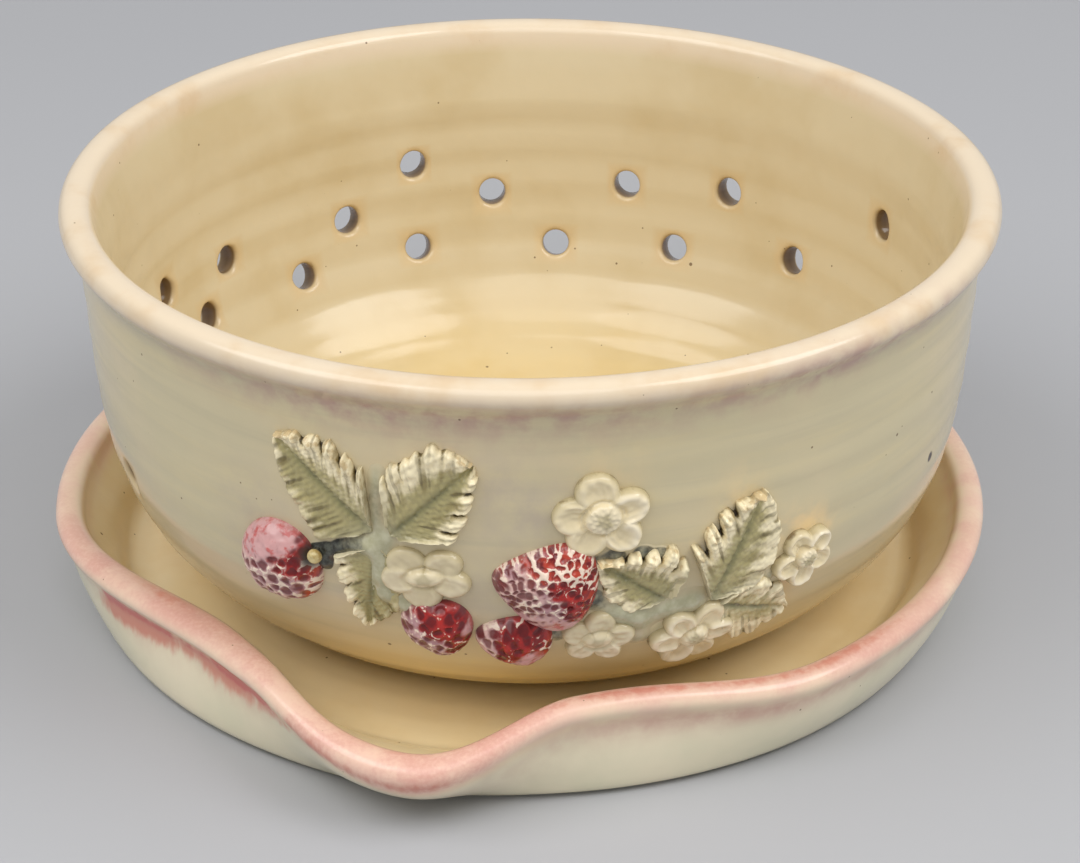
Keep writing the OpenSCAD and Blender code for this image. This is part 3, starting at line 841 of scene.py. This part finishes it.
# One half of a leaf on rows t, from base to tip, and columns from midrib to margin. A row is a side vein,
# straight from the midrib to the margin, so the veins fan out. beat counts the lobes on the way, with a gap
# halfway between two.
def leafHalf(leaf, side, t, across):
    lobes = np.array([(0, 0), *leaf[side], (leaf["length"], 0)])
    which = ["left", "right"].index(side)
    curl, cut, seed = leaf["curl"][which], leaf["cut"][which], leaf["seed"] + which
    beat = t * (len(lobes) - 1)
    margin = soften(np.stack([np.interp(beat[:, 0], range(len(lobes)), lobes[:, k]) for k in (0, 1)], -1), 3)
    gap = (0.5 - 0.5 * np.cos(2 * np.pi * beat)) * smoothStep(0.9, 1.2, beat)
    gap = gap * (1 - smoothStep(0.86, 0.95, t))
    size = np.random.default_rng(seed).uniform(0.6, 1.3, len(lobes) + 1)[np.floor(beat).astype(int)]
    # the gaps bite into the margin
    notch = leafShape["tooth"] * cut * size * gap ** 4
    midX = leaf["length"] * t ** 1.5
    ragged = 0.035 * lumps(beat * 2.3, 0, 1, seed + 9) * smoothStep(0, 0.15, t) * (1 - smoothStep(0.85, 1, t))
    reach = across * (1 - (notch - ragged) * across ** 3)
    x = midX + (margin[:, :1] - midX) * reach
    y = margin[:, 1:] * reach
    # along the veins: rounded lobes with narrow gaps, streaks like pressed ribs, a margin that stands up
    ribs = lumps(beat * 1.7, across * 0.5, 1, seed)
    vein = lumps(beat * 2.6, across * 0.4, 1, seed + 3)
    bodyShare = smoothStep(0.08, 0.5, across)
    lobe = 0.3 * curl * size * (1 - gap ** 2) * bell(across - 0.82, 0.17)
    valley = 0.42 * cut * gap ** 6 * smoothStep(0.4, 0.85, across)
    crumple = 0.12 * curl * lumps(x, y, 1.9, seed + 60) * smoothStep(0.5, 0.9, across)
    rise = 0.36 + 0.3 * curl * smoothStep(0.15, 0.9, across) - valley + lobe
    rise = rise + (0.028 * ribs + 0.025 * vein + crumple) * bodyShare
    rise = rise + 0.06 * lumps(x, y, 1.5, seed) + 0.1 * lumps(x, y, 3.2, seed + 40) * across
    rise = rise - 0.2 * bell(y, 0.55) * smoothStep(0.02, 0.2, t)
    edge = smoothStep(0.2, 0.95, across) * (0.35 + 0.65 * min(1, curl)) + leaf["pale"][which]
    return x, y, rise, {
        "groove": cut ** 0.5 * gap ** 8 * smoothStep(0.5, 0.9, across),
        "edge": edge + 0.4 * smoothStep(0.76, 0.96, t) * smoothStep(0.1, 0.6, across),
        "rib": 0.5 - 0.5 * ribs * bodyShare,
        "vein": 0.5 - 0.5 * vein * bodyShare,
        "midrib": bell(y, 0.9) * smoothStep(0.02, 0.15, t) * (1 - smoothStep(0.7, 0.98, t)),
        "base": (1 - smoothStep(0.02, 0.35, t)) * np.ones_like(across),
    }


# Both halves side by side in front, and a back inside the wall that closes the leaf
def makeLeaf(node, leaf, material):
    shape = leafShape
    t = np.linspace(0, 1, shape["rows"])[:, None]
    across = np.linspace(0, 1, shape["columns"] // 2)[None, :]
    rightX, rightY, rightRise, rightFields = leafHalf(leaf, "right", t, across)
    leftX, leftY, leftRise, leftFields = leafHalf(leaf, "left", t, across)

    def front(right, left):
        return np.concatenate([right[:, ::-1], left[:, 1:]], 1)

    x, y, rise = front(rightX, leftX), front(rightY, leftY), front(rightRise, leftRise)
    edge = roundOff(front(across, across), shape["roundFrom"])
    edge = edge * smoothStep(0, 0.05, t) * (1 - smoothStep(0.97, 1, t))
    h = (np.maximum(rise, shape["thinnest"]) * shape["thickness"] + shape["embed"]) * edge - shape["embed"]
    picks = np.linspace(x.shape[1] - 1, 0, shape["backColumns"] + 2).astype(int)[1:-1]
    x, y = (np.concatenate([way, way[:, picks] * 0.97], 1) for way in (x, y))
    pad = ((0, 0), (0, len(picks)))
    fields = {key: np.pad(front(rightFields[key], leftFields[key]), pad).ravel() for key in leftFields}
    fields["wallward"] = np.pad(1 - smoothStep(-0.3, 0.9, h), pad).ravel()
    h = np.pad(h, pad, constant_values=-shape["embed"])
    points = onWall(leaf["turn"], leaf["height"], *turned(x, y, leaf["heading"]), h)
    makePiece(pieceName(node), points, gridQuads(*x.shape), fields, material, node)


leafLook = {
    "blade": tint(176, 165, 115), "bladePale": tint(208, 191, 137), "cream": tint(255, 241, 202),
    "tan": tint(196, 162, 104), "stain": tint(58, 47, 32), "olive": tint(122, 106, 62),
    "pool": tint(170, 166, 138), "midrib": tint(112, 112, 78), "vein": tint(98, 86, 50),
}


def leafGlaze():
    material, wire = newMaterial("leafGlaze")
    look = leafLook
    pale = (wire.noise(3, 4) * 0.6 + wire.field("edge") * 0.5).step(0.3, 0.7)
    blade = pale.pick(look["blade"], look["bladePale"])
    ridge = (wire.field("edge") + wire.noise(1.8, 4) * 0.7 - wire.field("rib") * 0.3 - 0.2).step(0.1, 0.65)
    colour = ridge.pick(blade, look["cream"])
    tan = (wire.field("edge") * wire.noise(1.6, 4)).step(0.52, 0.72)
    colour = (tan * 0.6).pick(colour, look["tan"])
    ribs = (wire.field("rib") + wire.noise(1.2, 3) * 0.5 - 0.25).step(0.5, 0.95)
    colour = (ribs * (0.6 - ridge * 0.3)).pick(colour, look["olive"])
    veins = (wire.field("vein") + wire.noise(1.5, 3) * 0.6 - 0.3).step(0.55, 0.95)
    colour = (veins * (0.75 - ridge * 0.35)).pick(colour, look["vein"])
    colour = (wire.field("midrib") * (wire.noise(2.5, 3) * 0.9 + 0.2)).pick(colour, look["midrib"])
    colour = (wire.field("base") * 0.55).pick(colour, look["pool"])
    # brown has settled in the gaps and along the wall
    stain = wire.field("groove") * 0.9 + wire.field("wallward") * 0.45 + wire.noise(1.1, 5) * 0.9 - 0.68
    colour = stain.step(0, 0.4).pick(colour, look["olive"])
    colour = stain.step(0.3, 0.62).pick(colour, look["stain"])
    fire(wire, colour, rough=0.28, roughSpread=0.16, bumpDepth=0.2)
    return material


# Every piece of one kind, all in the same glaze
def makeAll(kind, make, pieces, material):
    for name, piece in pieces.items():
        make(name, piece, material)
    print(kind, "made:", len(pieces))


makeAll("leaves", makeLeaf, leaves, leafGlaze())


# A piece of rings and spokes on the wall. A last point behind its middle closes the back, inside the wall.
def makeDome(node, sprig, u, v, h, embed, fields, material):
    pole = np.zeros((1, u.shape[1]))
    points = onWall(sprig["turn"], sprig["height"], np.concatenate([u, pole]), np.concatenate([v, pole]),
                    np.concatenate([h, pole - embed]))
    fields = {key: np.pad(value, ((0, 1), (0, 0))).ravel() if np.ndim(value) else value
              for key, value in fields.items()}
    makePiece(pieceName(node), points, gridQuads(len(u) + 1, u.shape[1]), fields, material, node)


# Blossoms: middle on the wall, size across, how far it is squashed upright, directions of the petals,
# how crisp the petals still are under the glaze, and the heart's size, length over width and direction
blossoms = {
    "left_blossom": {
        "turn": -102.2, "height": 48, "size": 18.2, "squash": 0.82, "crisp": 0.35, "seed": 2,
        "petals": (138, 46, -16, -98, 196), "heart": (0.3, 1.6, 15),
    },
    "right_blossom_top": {
        "turn": -81.6, "height": 61.7, "size": 18.4, "squash": 1, "crisp": 0.8, "seed": 4,
        "petals": (102, 20, -48, -122, 178), "heart": (0.35, 1.15, 20),
    },
    "right_blossom_low_inner": {
        "turn": -81.6, "height": 33.8, "size": 14.6, "squash": 0.96, "crisp": 0.35, "seed": 6,
        "petals": (85, 5, -60, 225, 160), "heart": (0.32, 1.3, 10),
    },
    "right_blossom_low_outer": {
        "turn": -69, "height": 31, "size": 17.4, "squash": 1.02, "crisp": 0.8, "seed": 9,
        "petals": (130, 62, 5, -62, 240, 185), "heart": (0.27, 1.4, 25),
    },
    "right_blossom_end": {
        "turn": -54.8, "height": 43.8, "size": 14.4, "squash": 0.94, "crisp": 1, "seed": 11,
        "petals": (118, 48, -25, -95, 200), "heart": (0.31, 1.05, 0),
    },
}
blossomShape = {"thickness": 3.2, "embed": 0.5, "rows": 60, "columns": 240, "beads": 24, "roundFrom": 0.93,
                "usualPetals": 5}
goldenAngle = 2.39996


# A blossom on rings and spokes. Oval petals overlap in a fan and the highest one wins. Crisp petals are
# cupped, with a rim like a soft roll; drowned ones are pads. A domed heart with beads sits in the middle.
def makeBlossom(node, blossom, material):
    shape, crisp, seed = blossomShape, blossom["crisp"], blossom["seed"]
    dice = np.random.default_rng(seed)
    spoke = roundSteps(shape["columns"])[None, :]
    ring = np.linspace(0, 1, shape["rows"])[:, None]
    share = shape["usualPetals"] / len(blossom["petals"])
    petals = [{"turn": turn, "out": dice.uniform(0.52, 0.57), "long": dice.uniform(0.42, 0.47),
               "wide": dice.uniform(0.4, 0.46) * share, "level": dice.uniform(0.78, 1.14),
               "lean": dice.uniform(-0.5, 1)} for turn in blossom["petals"]]
    # how far the outline reaches along each spoke: the far side of the petals' ovals
    reach = 0.5
    for petal in petals:
        along, side = np.cos(spoke - np.radians(petal["turn"])), np.sin(spoke - np.radians(petal["turn"]))
        a = (along / petal["long"]) ** 2 + (side / petal["wide"]) ** 2
        b = -2 * petal["out"] * along / petal["long"] ** 2
        root = b * b - 4 * a * ((petal["out"] / petal["long"]) ** 2 - 1)
        reach = np.maximum(reach, np.where(root > 0, (-b + np.sqrt(np.maximum(root, 0))) / (2 * a), 0))
    d = ring * reach
    x, y = d * np.cos(spoke), d * np.sin(spoke)
    rise, gap = np.full_like(d, 0.15), np.ones_like(d)
    for petal in petals:
        along, side = turned(x, y, -petal["turn"])
        side = side / petal["wide"]
        q = np.hypot((along - petal["out"]) / petal["long"], side)
        cupped = 0.32 + 0.36 * smoothStep(0.2, 0.8, q) + 0.06 * lumps(side, q, 0.6, seed)
        padded = 0.62 - 0.12 * q ** 2
        cup = crisp * cupped + (1 - crisp) * padded + 0.1 * petal["lean"] * side
        rounded = np.sqrt(np.clip(1 - q ** (3.6 + 2.4 * crisp), 0, 1))
        body = cup * petal["level"] * rounded * (0.55 + 0.45 * smoothStep(0.1, 0.45, d))
        rise = np.maximum(rise, np.where(q < 1, body, 0))
        gap = np.minimum(gap, np.clip(q, 0, 1) ** 5)
    heart, long, way = blossom["heart"]
    along, side = turned(x, y, -way)
    oval = np.hypot(along / long ** 0.5, side * long ** 0.5)
    dome = 0.42 + 0.12 * crisp + 0.3 * np.sqrt(np.clip(1 - (oval / heart) ** 2, 0, 1))
    # beads in a sunflower spiral
    bead = np.arange(shape["beads"])
    beadR, beadTurn = heart * 0.92 * np.sqrt((bead + 0.5) / shape["beads"]), bead * goldenAngle
    beadX, beadY = beadR * np.cos(beadTurn), beadR * np.sin(beadTurn)
    beadGap = np.hypot(x[..., None] - beadX, y[..., None] - beadY).min(-1)
    dome = dome + 0.08 * smoothStep(0.35, 0.8, crisp) * bell(beadGap, 0.04)
    rise = rise - (0.1 + 0.08 * crisp) * bell(oval - heart * 1.12, 0.05)
    rise = np.where(oval < heart, np.maximum(dome, rise), rise)
    passes = 2 + int(8 * (1 - crisp))
    rise = soften(soften(rise, passes).T, passes, True).T + 0.02 * lumps(x, y, 0.3, seed + 50)
    edge = roundOff(ring, shape["roundFrom"])
    h = (rise * shape["thickness"] + shape["embed"]) * edge - shape["embed"]
    scale = blossom["size"] / 2
    fields = {
        # crest carries the painted highlight on the petals' high parts
        "crest": rise,
        # gap carries the painted shade between the petals
        "gap": gap,
        "heart": 1 - smoothStep(heart * 0.9, heart * 1.3, oval),
        "rimming": smoothStep(0.85, 1, ring) * np.ones_like(d),
        "crisp": crisp,
    }
    makeDome(node, blossom, x * scale, y * scale * blossom["squash"], h, shape["embed"], fields, material)


blossomLook = {
    "petal": tint(241, 224, 184), "petalCool": tint(230, 214, 174), "drowned": tint(214, 199, 161),
    # crest is a painted highlight colour for the petals' high parts
    # gap is a painted shade colour for between the petals
    "crest": tint(250, 237, 208), "gap": tint(152, 140, 97), "heart": tint(228, 213, 176),
    "brown": tint(112, 88, 54),
}


def blossomGlaze():
    material, wire = newMaterial("blossomGlaze")
    look = blossomLook
    colour = wire.noise(5, 3).step(0.35, 0.65).pick(look["petal"], look["petalCool"])
    colour = wire.field("crisp").step(0.4, 0.8).pick(look["drowned"], colour)
    # painted highlight on the petals' high parts, weaker on drowned petals
    crest = (wire.field("crest") + wire.noise(2, 3) * 0.2).step(0.5, 0.85) * (wire.field("crisp") * 0.5 + 0.5)
    colour = crest.pick(colour, look["crest"])
    colour = (wire.field("heart") * 0.6).pick(colour, look["heart"])
    # painted shade in the gaps between the petals
    gap = wire.field("gap").step(0.2, 1) * (wire.noise(2, 3) * 0.6 + 0.35) * (wire.field("crisp") * 0.5 + 0.5)
    colour = gap.pick(colour, look["gap"])
    brown = (wire.field("rimming") * wire.noise(2.4, 4) * (wire.field("crisp") * 0.4 + 0.6)).step(0.46, 0.66)
    colour = (brown * 0.8).pick(colour, look["brown"])
    fire(wire, colour, rough=0.15)
    return material


makeAll("blossoms", makeBlossom, blossoms, blossomGlaze())

# Berries: middle on the wall, heading of the tip, length and width, lift off the wall, taper to the tip and
# seeds. snow says towards which heading the white glaze has broken into a net and from where on, pale which
# way the berry is smooth and pink, and chips which way the glaze has chipped to orange and cream.
berries = {
    "left_berry_round": {
        "turn": -121.2, "height": 44.9, "heading": 205, "length": 17.9, "width": 17.9, "lift": 5.4,
        "taper": 0.06, "seeds": 58, "seed": 21,
        "snow": (245, -0.85), "pale": (112, 0.22), "chips": (-8, 0.6),
    },
    "left_berry_hanging": {
        "turn": -101.1, "height": 35.8, "heading": -78, "length": 14.4, "width": 13.6, "lift": 4.4,
        "taper": 0.22, "seeds": 34, "seed": 23,
        "snow": (215, -0.4), "pale": (-5, 0.62), "chips": (0, 9),
    },
    "right_berry_large": {
        "turn": -88.2, "height": 47, "heading": 168, "length": 19.8, "width": 18.6, "lift": 5,
        "taper": 0.45, "seeds": 120, "seed": 27,
        "snow": (205, -0.6), "pale": (-105, 0.35), "chips": (80, 0.15),
    },
    "right_berry_small": {
        "turn": -91.9, "height": 33.6, "heading": 170, "length": 14.6, "width": 12.8, "lift": 4.2,
        "taper": 0.3, "seeds": 34, "seed": 29,
        "snow": (200, -0.1), "pale": (-95, 0), "chips": (-20, 0.7),
    },
}
berryShape = {"embed": 0.5, "rows": 64, "columns": 220, "pit": 0.34, "pitDepth": 0.4, "roundFrom": 0.96}


# A berry on rings and spokes: a dome that narrows to its tip, with uneven pits for the seeds in a
# sunflower spiral
def makeBerry(node, berry, material):
    shape, seed, count = berryShape, berry["seed"], berry["seeds"]
    spoke = roundSteps(shape["columns"])[None, :]
    ring = (np.linspace(0, 1, shape["rows"]) ** 0.8)[:, None]
    halfL, halfW = berry["length"] / 2, berry["width"] / 2

    def onBerry(way, angle):
        return halfL * way * np.cos(angle), halfW * way * np.sin(angle) * (1 - berry["taper"] * np.cos(angle))

    x, y = onBerry(ring, spoke)
    dome = (1 - ring ** 2.2) ** 0.6 * np.ones_like(spoke)
    dice = np.random.default_rng(seed)
    seedTurn = np.arange(count) * goldenAngle + dice.normal(0, 0.06, count) + seed
    seedX, seedY = onBerry(((np.arange(count) + 0.6) / count) ** 0.44, seedTurn)
    bentX, bentY = x + 0.3 * lumps(x, y, 2.6, seed), y + 0.3 * lumps(x, y, 2.6, seed + 1)
    away = np.hypot(bentX[..., None] - seedX, bentY[..., None] - seedY)
    away = (away * dice.uniform(0.8, 1.25, count)).min(-1)
    u, v = turned(x, y, berry["heading"])

    def towards(key, spread):
        way, start = berry[key]
        reach = (u * np.cos(np.radians(way)) + v * np.sin(np.radians(way))) / halfW
        return smoothStep(start, start + spread, reach + 0.22 * lumps(u, v, 9, seed + 5))

    pale = towards("pale", 0.4)
    pitR = shape["pit"] * (berry["length"] * berry["width"] / count) ** 0.5
    pit = bell(away, pitR) * (1 - 0.75 * pale)
    ridge = bell(away - 1.55 * pitR, 0.47 * pitR) * (1 - 0.5 * pale)
    h = berry["lift"] * dome + (0.1 * ridge - shape["pitDepth"] * pit) * smoothStep(0, 0.3, dome)
    h = h + (0.2 * lumps(x, y, 6, seed) + 0.07 * lumps(x, y, 1.6, seed + 2)) * dome ** 0.5
    h = (h + shape["embed"]) * roundOff(ring, shape["roundFrom"]) - shape["embed"]
    fields = {"seed": pit, "net": ridge, "snow": towards("snow", 0.8), "pale": pale,
              "chips": towards("chips", 0.3), "foot": 1 - smoothStep(0, 0.5, dome)}
    makeDome(node, berry, u, v, h, shape["embed"], fields, material)


berryLook = {"red": tint(128, 10, 12), "redBright": tint(178, 38, 32), "maroon": tint(98, 10, 16),
             "snow": tint(218, 180, 170), "lavender": tint(178, 134, 138), "chip": tint(240, 218, 198),
             "pale": tint(216, 168, 166), "palePatch": tint(198, 100, 96), "haze": tint(176, 150, 152),
             # the last colour is painted shade for the cavity round the stalk
             "orange": tint(182, 62, 42), "calyx": tint(50, 46, 38)}


def berryGlaze():
    material, wire = newMaterial("berryGlaze")
    look = berryLook
    red = wire.noise(2.4, 4).step(0.38, 0.62).pick(look["red"], look["redBright"])
    white = wire.noise(4, 3).step(0.35, 0.65).pick(look["snow"], look["lavender"])
    snow = (wire.field("snow") + wire.field("net") * 0.25 + wire.noise(1.6, 4) * 1.2 - 0.85).step(0.15, 0.6)
    colour = snow.pick(red, white)
    patches = (wire.noise(2.2, 5) + wire.field("foot") * 0.12).step(0.5, 0.66)
    pale = (wire.field("pale") + wire.noise(2, 4) - 0.5).step(0.2, 0.8)
    colour = (pale * 0.9).pick(colour, patches.pick(look["pale"], look["palePatch"]))
    seed = (wire.field("seed") + wire.noise(1, 3) * 0.3 - 0.15).step(0.14, 0.6)
    colour = (seed * (wire.noise(3, 2) * 0.4 + 0.65)).pick(colour, look["maroon"])
    colour = (wire.field("chips") * wire.noise(2.5, 3).step(0.4, 0.6)).pick(colour, look["orange"])
    chip = wire.field("net") * 0.4 + wire.noise(1.1, 5) + wire.noise(4.5, 2) * 0.5 + wire.field("chips") * 0.2
    chip = (chip + wire.field("snow") * 0.1 - wire.field("pale") * 0.25 - 0.34).step(0.78, 0.92)
    colour = chip.pick(colour, look["chip"])
    colour = (wire.field("foot") * wire.noise(3, 3) * 0.4).pick(colour, look["haze"])
    # painted shade of the cavity round the stalk
    calyx = wire.spot(onWall(*stalkPlace(), 0, 0, stalk["lift"] - 0.6), 2.1)
    colour = (calyx * 0.95).pick(colour, look["calyx"])
    fire(wire, colour, rough=0.18)
    return material


# The end of the round berry's stalk: a bead on a short neck, where the frame has it
stalkLow, stalkHigh = (np.array(corner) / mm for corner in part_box("left_berry_stalk"))
stalk = {"middle": (stalkLow + stalkHigh) / 2, "shift": (-0.6, -1.6), "neck": 0.95, "bead": 1.4, "lift": 3.4,
         "columns": 40}


def stalkPlace():
    x, y = stalk["middle"][:2] - bowl["middle"]
    return np.degrees(np.arctan2(y, x)) + stalk["shift"][0], stalk["middle"][2] + stalk["shift"][1]


makeAll("berries", makeBerry, berries, berryGlaze())


# A bead's outline turned about the wall's normal: neck, swelling and a dimple on top
def makeStalk(material):
    ball = np.radians(np.linspace(90, -50, 14))
    r = np.concatenate([[0], stalk["bead"] * np.cos(ball[1:]), [stalk["neck"], stalk["neck"] * 1.3, 0]])
    top = stalk["lift"] - stalk["bead"] * (1 - np.sin(ball))
    h = np.concatenate([top - 0.3 * bell(stalk["bead"] * np.cos(ball), 0.5), [0.8, -0.5, -0.5]])
    spoke = roundSteps(stalk["columns"])
    points = onWall(*stalkPlace(), r[:, None] * np.cos(spoke), r[:, None] * np.sin(spoke), h[:, None])
    fields = {"crest": np.repeat(smoothStep(1, 2.6, h), stalk["columns"])}
    quads = gridQuads(len(r), stalk["columns"])
    makePiece("leftBerryStalk", points, quads, fields, material, "left_berry_stalk")


stalkLook = {"bead": tint(214, 196, 140), "beadTan": tint(172, 144, 86), "neck": tint(54, 52, 44)}


def stalkGlaze():
    material, wire = newMaterial("stalkGlaze")
    bead = wire.noise(1.5, 3).step(0.4, 0.65).pick(stalkLook["bead"], stalkLook["beadTan"])
    # the neck and the bead's lower side are painted shade
    colour = wire.field("crest").step(0.1, 0.7).pick(stalkLook["neck"], bead)
    fire(wire, colour, rough=0.12)
    return material


makeStalk(stalkGlaze())
print("stalk turned")

# Glaze that pooled between the sprigs: turn, height, radius, depth and darkness of each mound. The darkness
# is painted shade of the cavities between the sprigs.
pools = {
    "leftPool": [
        (-107.1, 55.1, 3, 1.5, 0.1), (-107.9, 59, 1.9, 0.8, 0.4), (-107.9, 61.6, 1.6, 0.85, 0.3),
        (-107.9, 64.2, 1.8, 0.85, 0.42), (-107.6, 66.8, 2, 0.85, 0.2), (-107.4, 69.6, 2.3, 0.8, 0.1),
        (-107.8, 50.5, 2.4, 1.5, 0), (-107.6, 46.6, 2.6, 1.7, 0), (-107.2, 42.4, 2.8, 1.7, 0.1),
        (-104.8, 39.8, 2.6, 1.5, 0.1), (-101.5, 41, 2.8, 1.2, 0.1), (-108.9, 53.2, 2, 1.4, 0.42),
        (-110.6, 52.4, 2.1, 1.4, 0.55), (-112.6, 51.3, 1.9, 1.1, 0.7), (-114.4, 49.8, 2, 1, 0.9),
        (-116, 48.2, 2.6, 1.1, 1), (-114.9, 46.6, 1.5, 0.9, 1),
    ],
    "rightPool": [
        (-82.6, 51, 2.4, 1.3, 0.6), (-79.9, 52.8, 2.2, 1.2, 0.55), (-76.7, 53, 1.8, 1.3, 0.6),
        (-74.5, 52.4, 1.6, 1.3, 0.55), (-82.7, 43.2, 2.6, 1.5, 0.6), (-79.5, 39.6, 3, 1.5, 0.2),
        (-76.5, 37.2, 3.2, 1.7, 0.1), (-73, 39, 2.8, 1.4, 0.15), (-69.9, 39.4, 2.8, 1.9, 0.05),
        (-86.7, 34.2, 2.2, 1.1, 0.5), (-76.3, 31.6, 2.4, 1.1, 0), (-63.4, 36, 1.6, 1.1, 0.6),
        (-59.4, 41, 1.6, 0.9, 0.3),
    ],
}
poolShape = {"step": 0.45, "embed": 0.9, "margin": 2, "sink": 0.5}


# A pool is a sheet that swells out of the wall as a sum of soft mounds; its rim and back stay inside the clay
def makePool(name, mounds, material):
    turn, height, radius, depth, dark = np.array(mounds, float).T
    step, embed = poolShape["step"], poolShape["embed"]
    middle = turn.mean(), height.mean()
    middleU, middleV = np.radians(turn - middle[0]) * wallR(height - bowl["foot"]), height - middle[1]
    reach = radius.max() + poolShape["margin"]
    u = np.arange(middleU.min() - reach, middleU.max() + reach, step)[None, :]
    v = np.arange(middleV.min() - reach, middleV.max() + reach, step)[:, None]
    lift = depth * bell(np.hypot(u[..., None] - middleU, v[..., None] - middleV), radius)
    h = np.maximum(lift.sum(-1) - poolShape["sink"] + 0.06 * lumps(u, v, 5, 31), -embed / 2)
    shade = (lift * dark).sum(-1) / np.maximum(lift.sum(-1), 0.05)
    h = np.pad(h[1:-1, 1:-1], 1, constant_values=-embed)
    u, v = np.broadcast_arrays(u, v)
    allU = np.concatenate([u, u[:, ::-1]], 1)
    allV = np.concatenate([v, v], 1)
    points = onWall(*middle, allU, allV, np.concatenate([h, np.full_like(h, -embed)], 1))
    fields = {"depth": np.concatenate([h, 0 * h], 1).ravel(),
              "dark": np.concatenate([shade, shade], 1).ravel()}
    makePiece(name, points, gridQuads(*allU.shape), fields, material, None)


poolLook = {"wall": tint(204, 191, 157), "blue": tint(196, 192, 162), "grey": tint(177, 173, 140),
            # dark and teal make up the painted shade
            "dark": tint(44, 43, 36), "teal": tint(86, 88, 78)}


def poolGlaze():
    material, wire = newMaterial("poolGlaze")
    look = poolLook
    blue = wire.noise(2.5, 4).step(0.35, 0.65).pick(look["blue"], look["grey"])
    colour = (wire.field("depth") + wire.noise(2, 3) * 0.3).step(0.15, 1).pick(look["wall"], blue)
    # painted shade where the mounds are marked dark
    dark = (wire.field("dark") + wire.noise(1.6, 4) * 0.6 - 0.3) * wire.field("depth").step(-0.1, 0.2)
    deep = wire.noise(1.8, 4).step(0.4, 0.62).pick(look["dark"], look["teal"])
    colour = dark.step(0.25, 0.75).pick(colour, deep)
    fire(wire, colour, rough=0.14, bumpDepth=0.3)
    return material


makeAll("glaze pools", makePool, pools, poolGlaze())
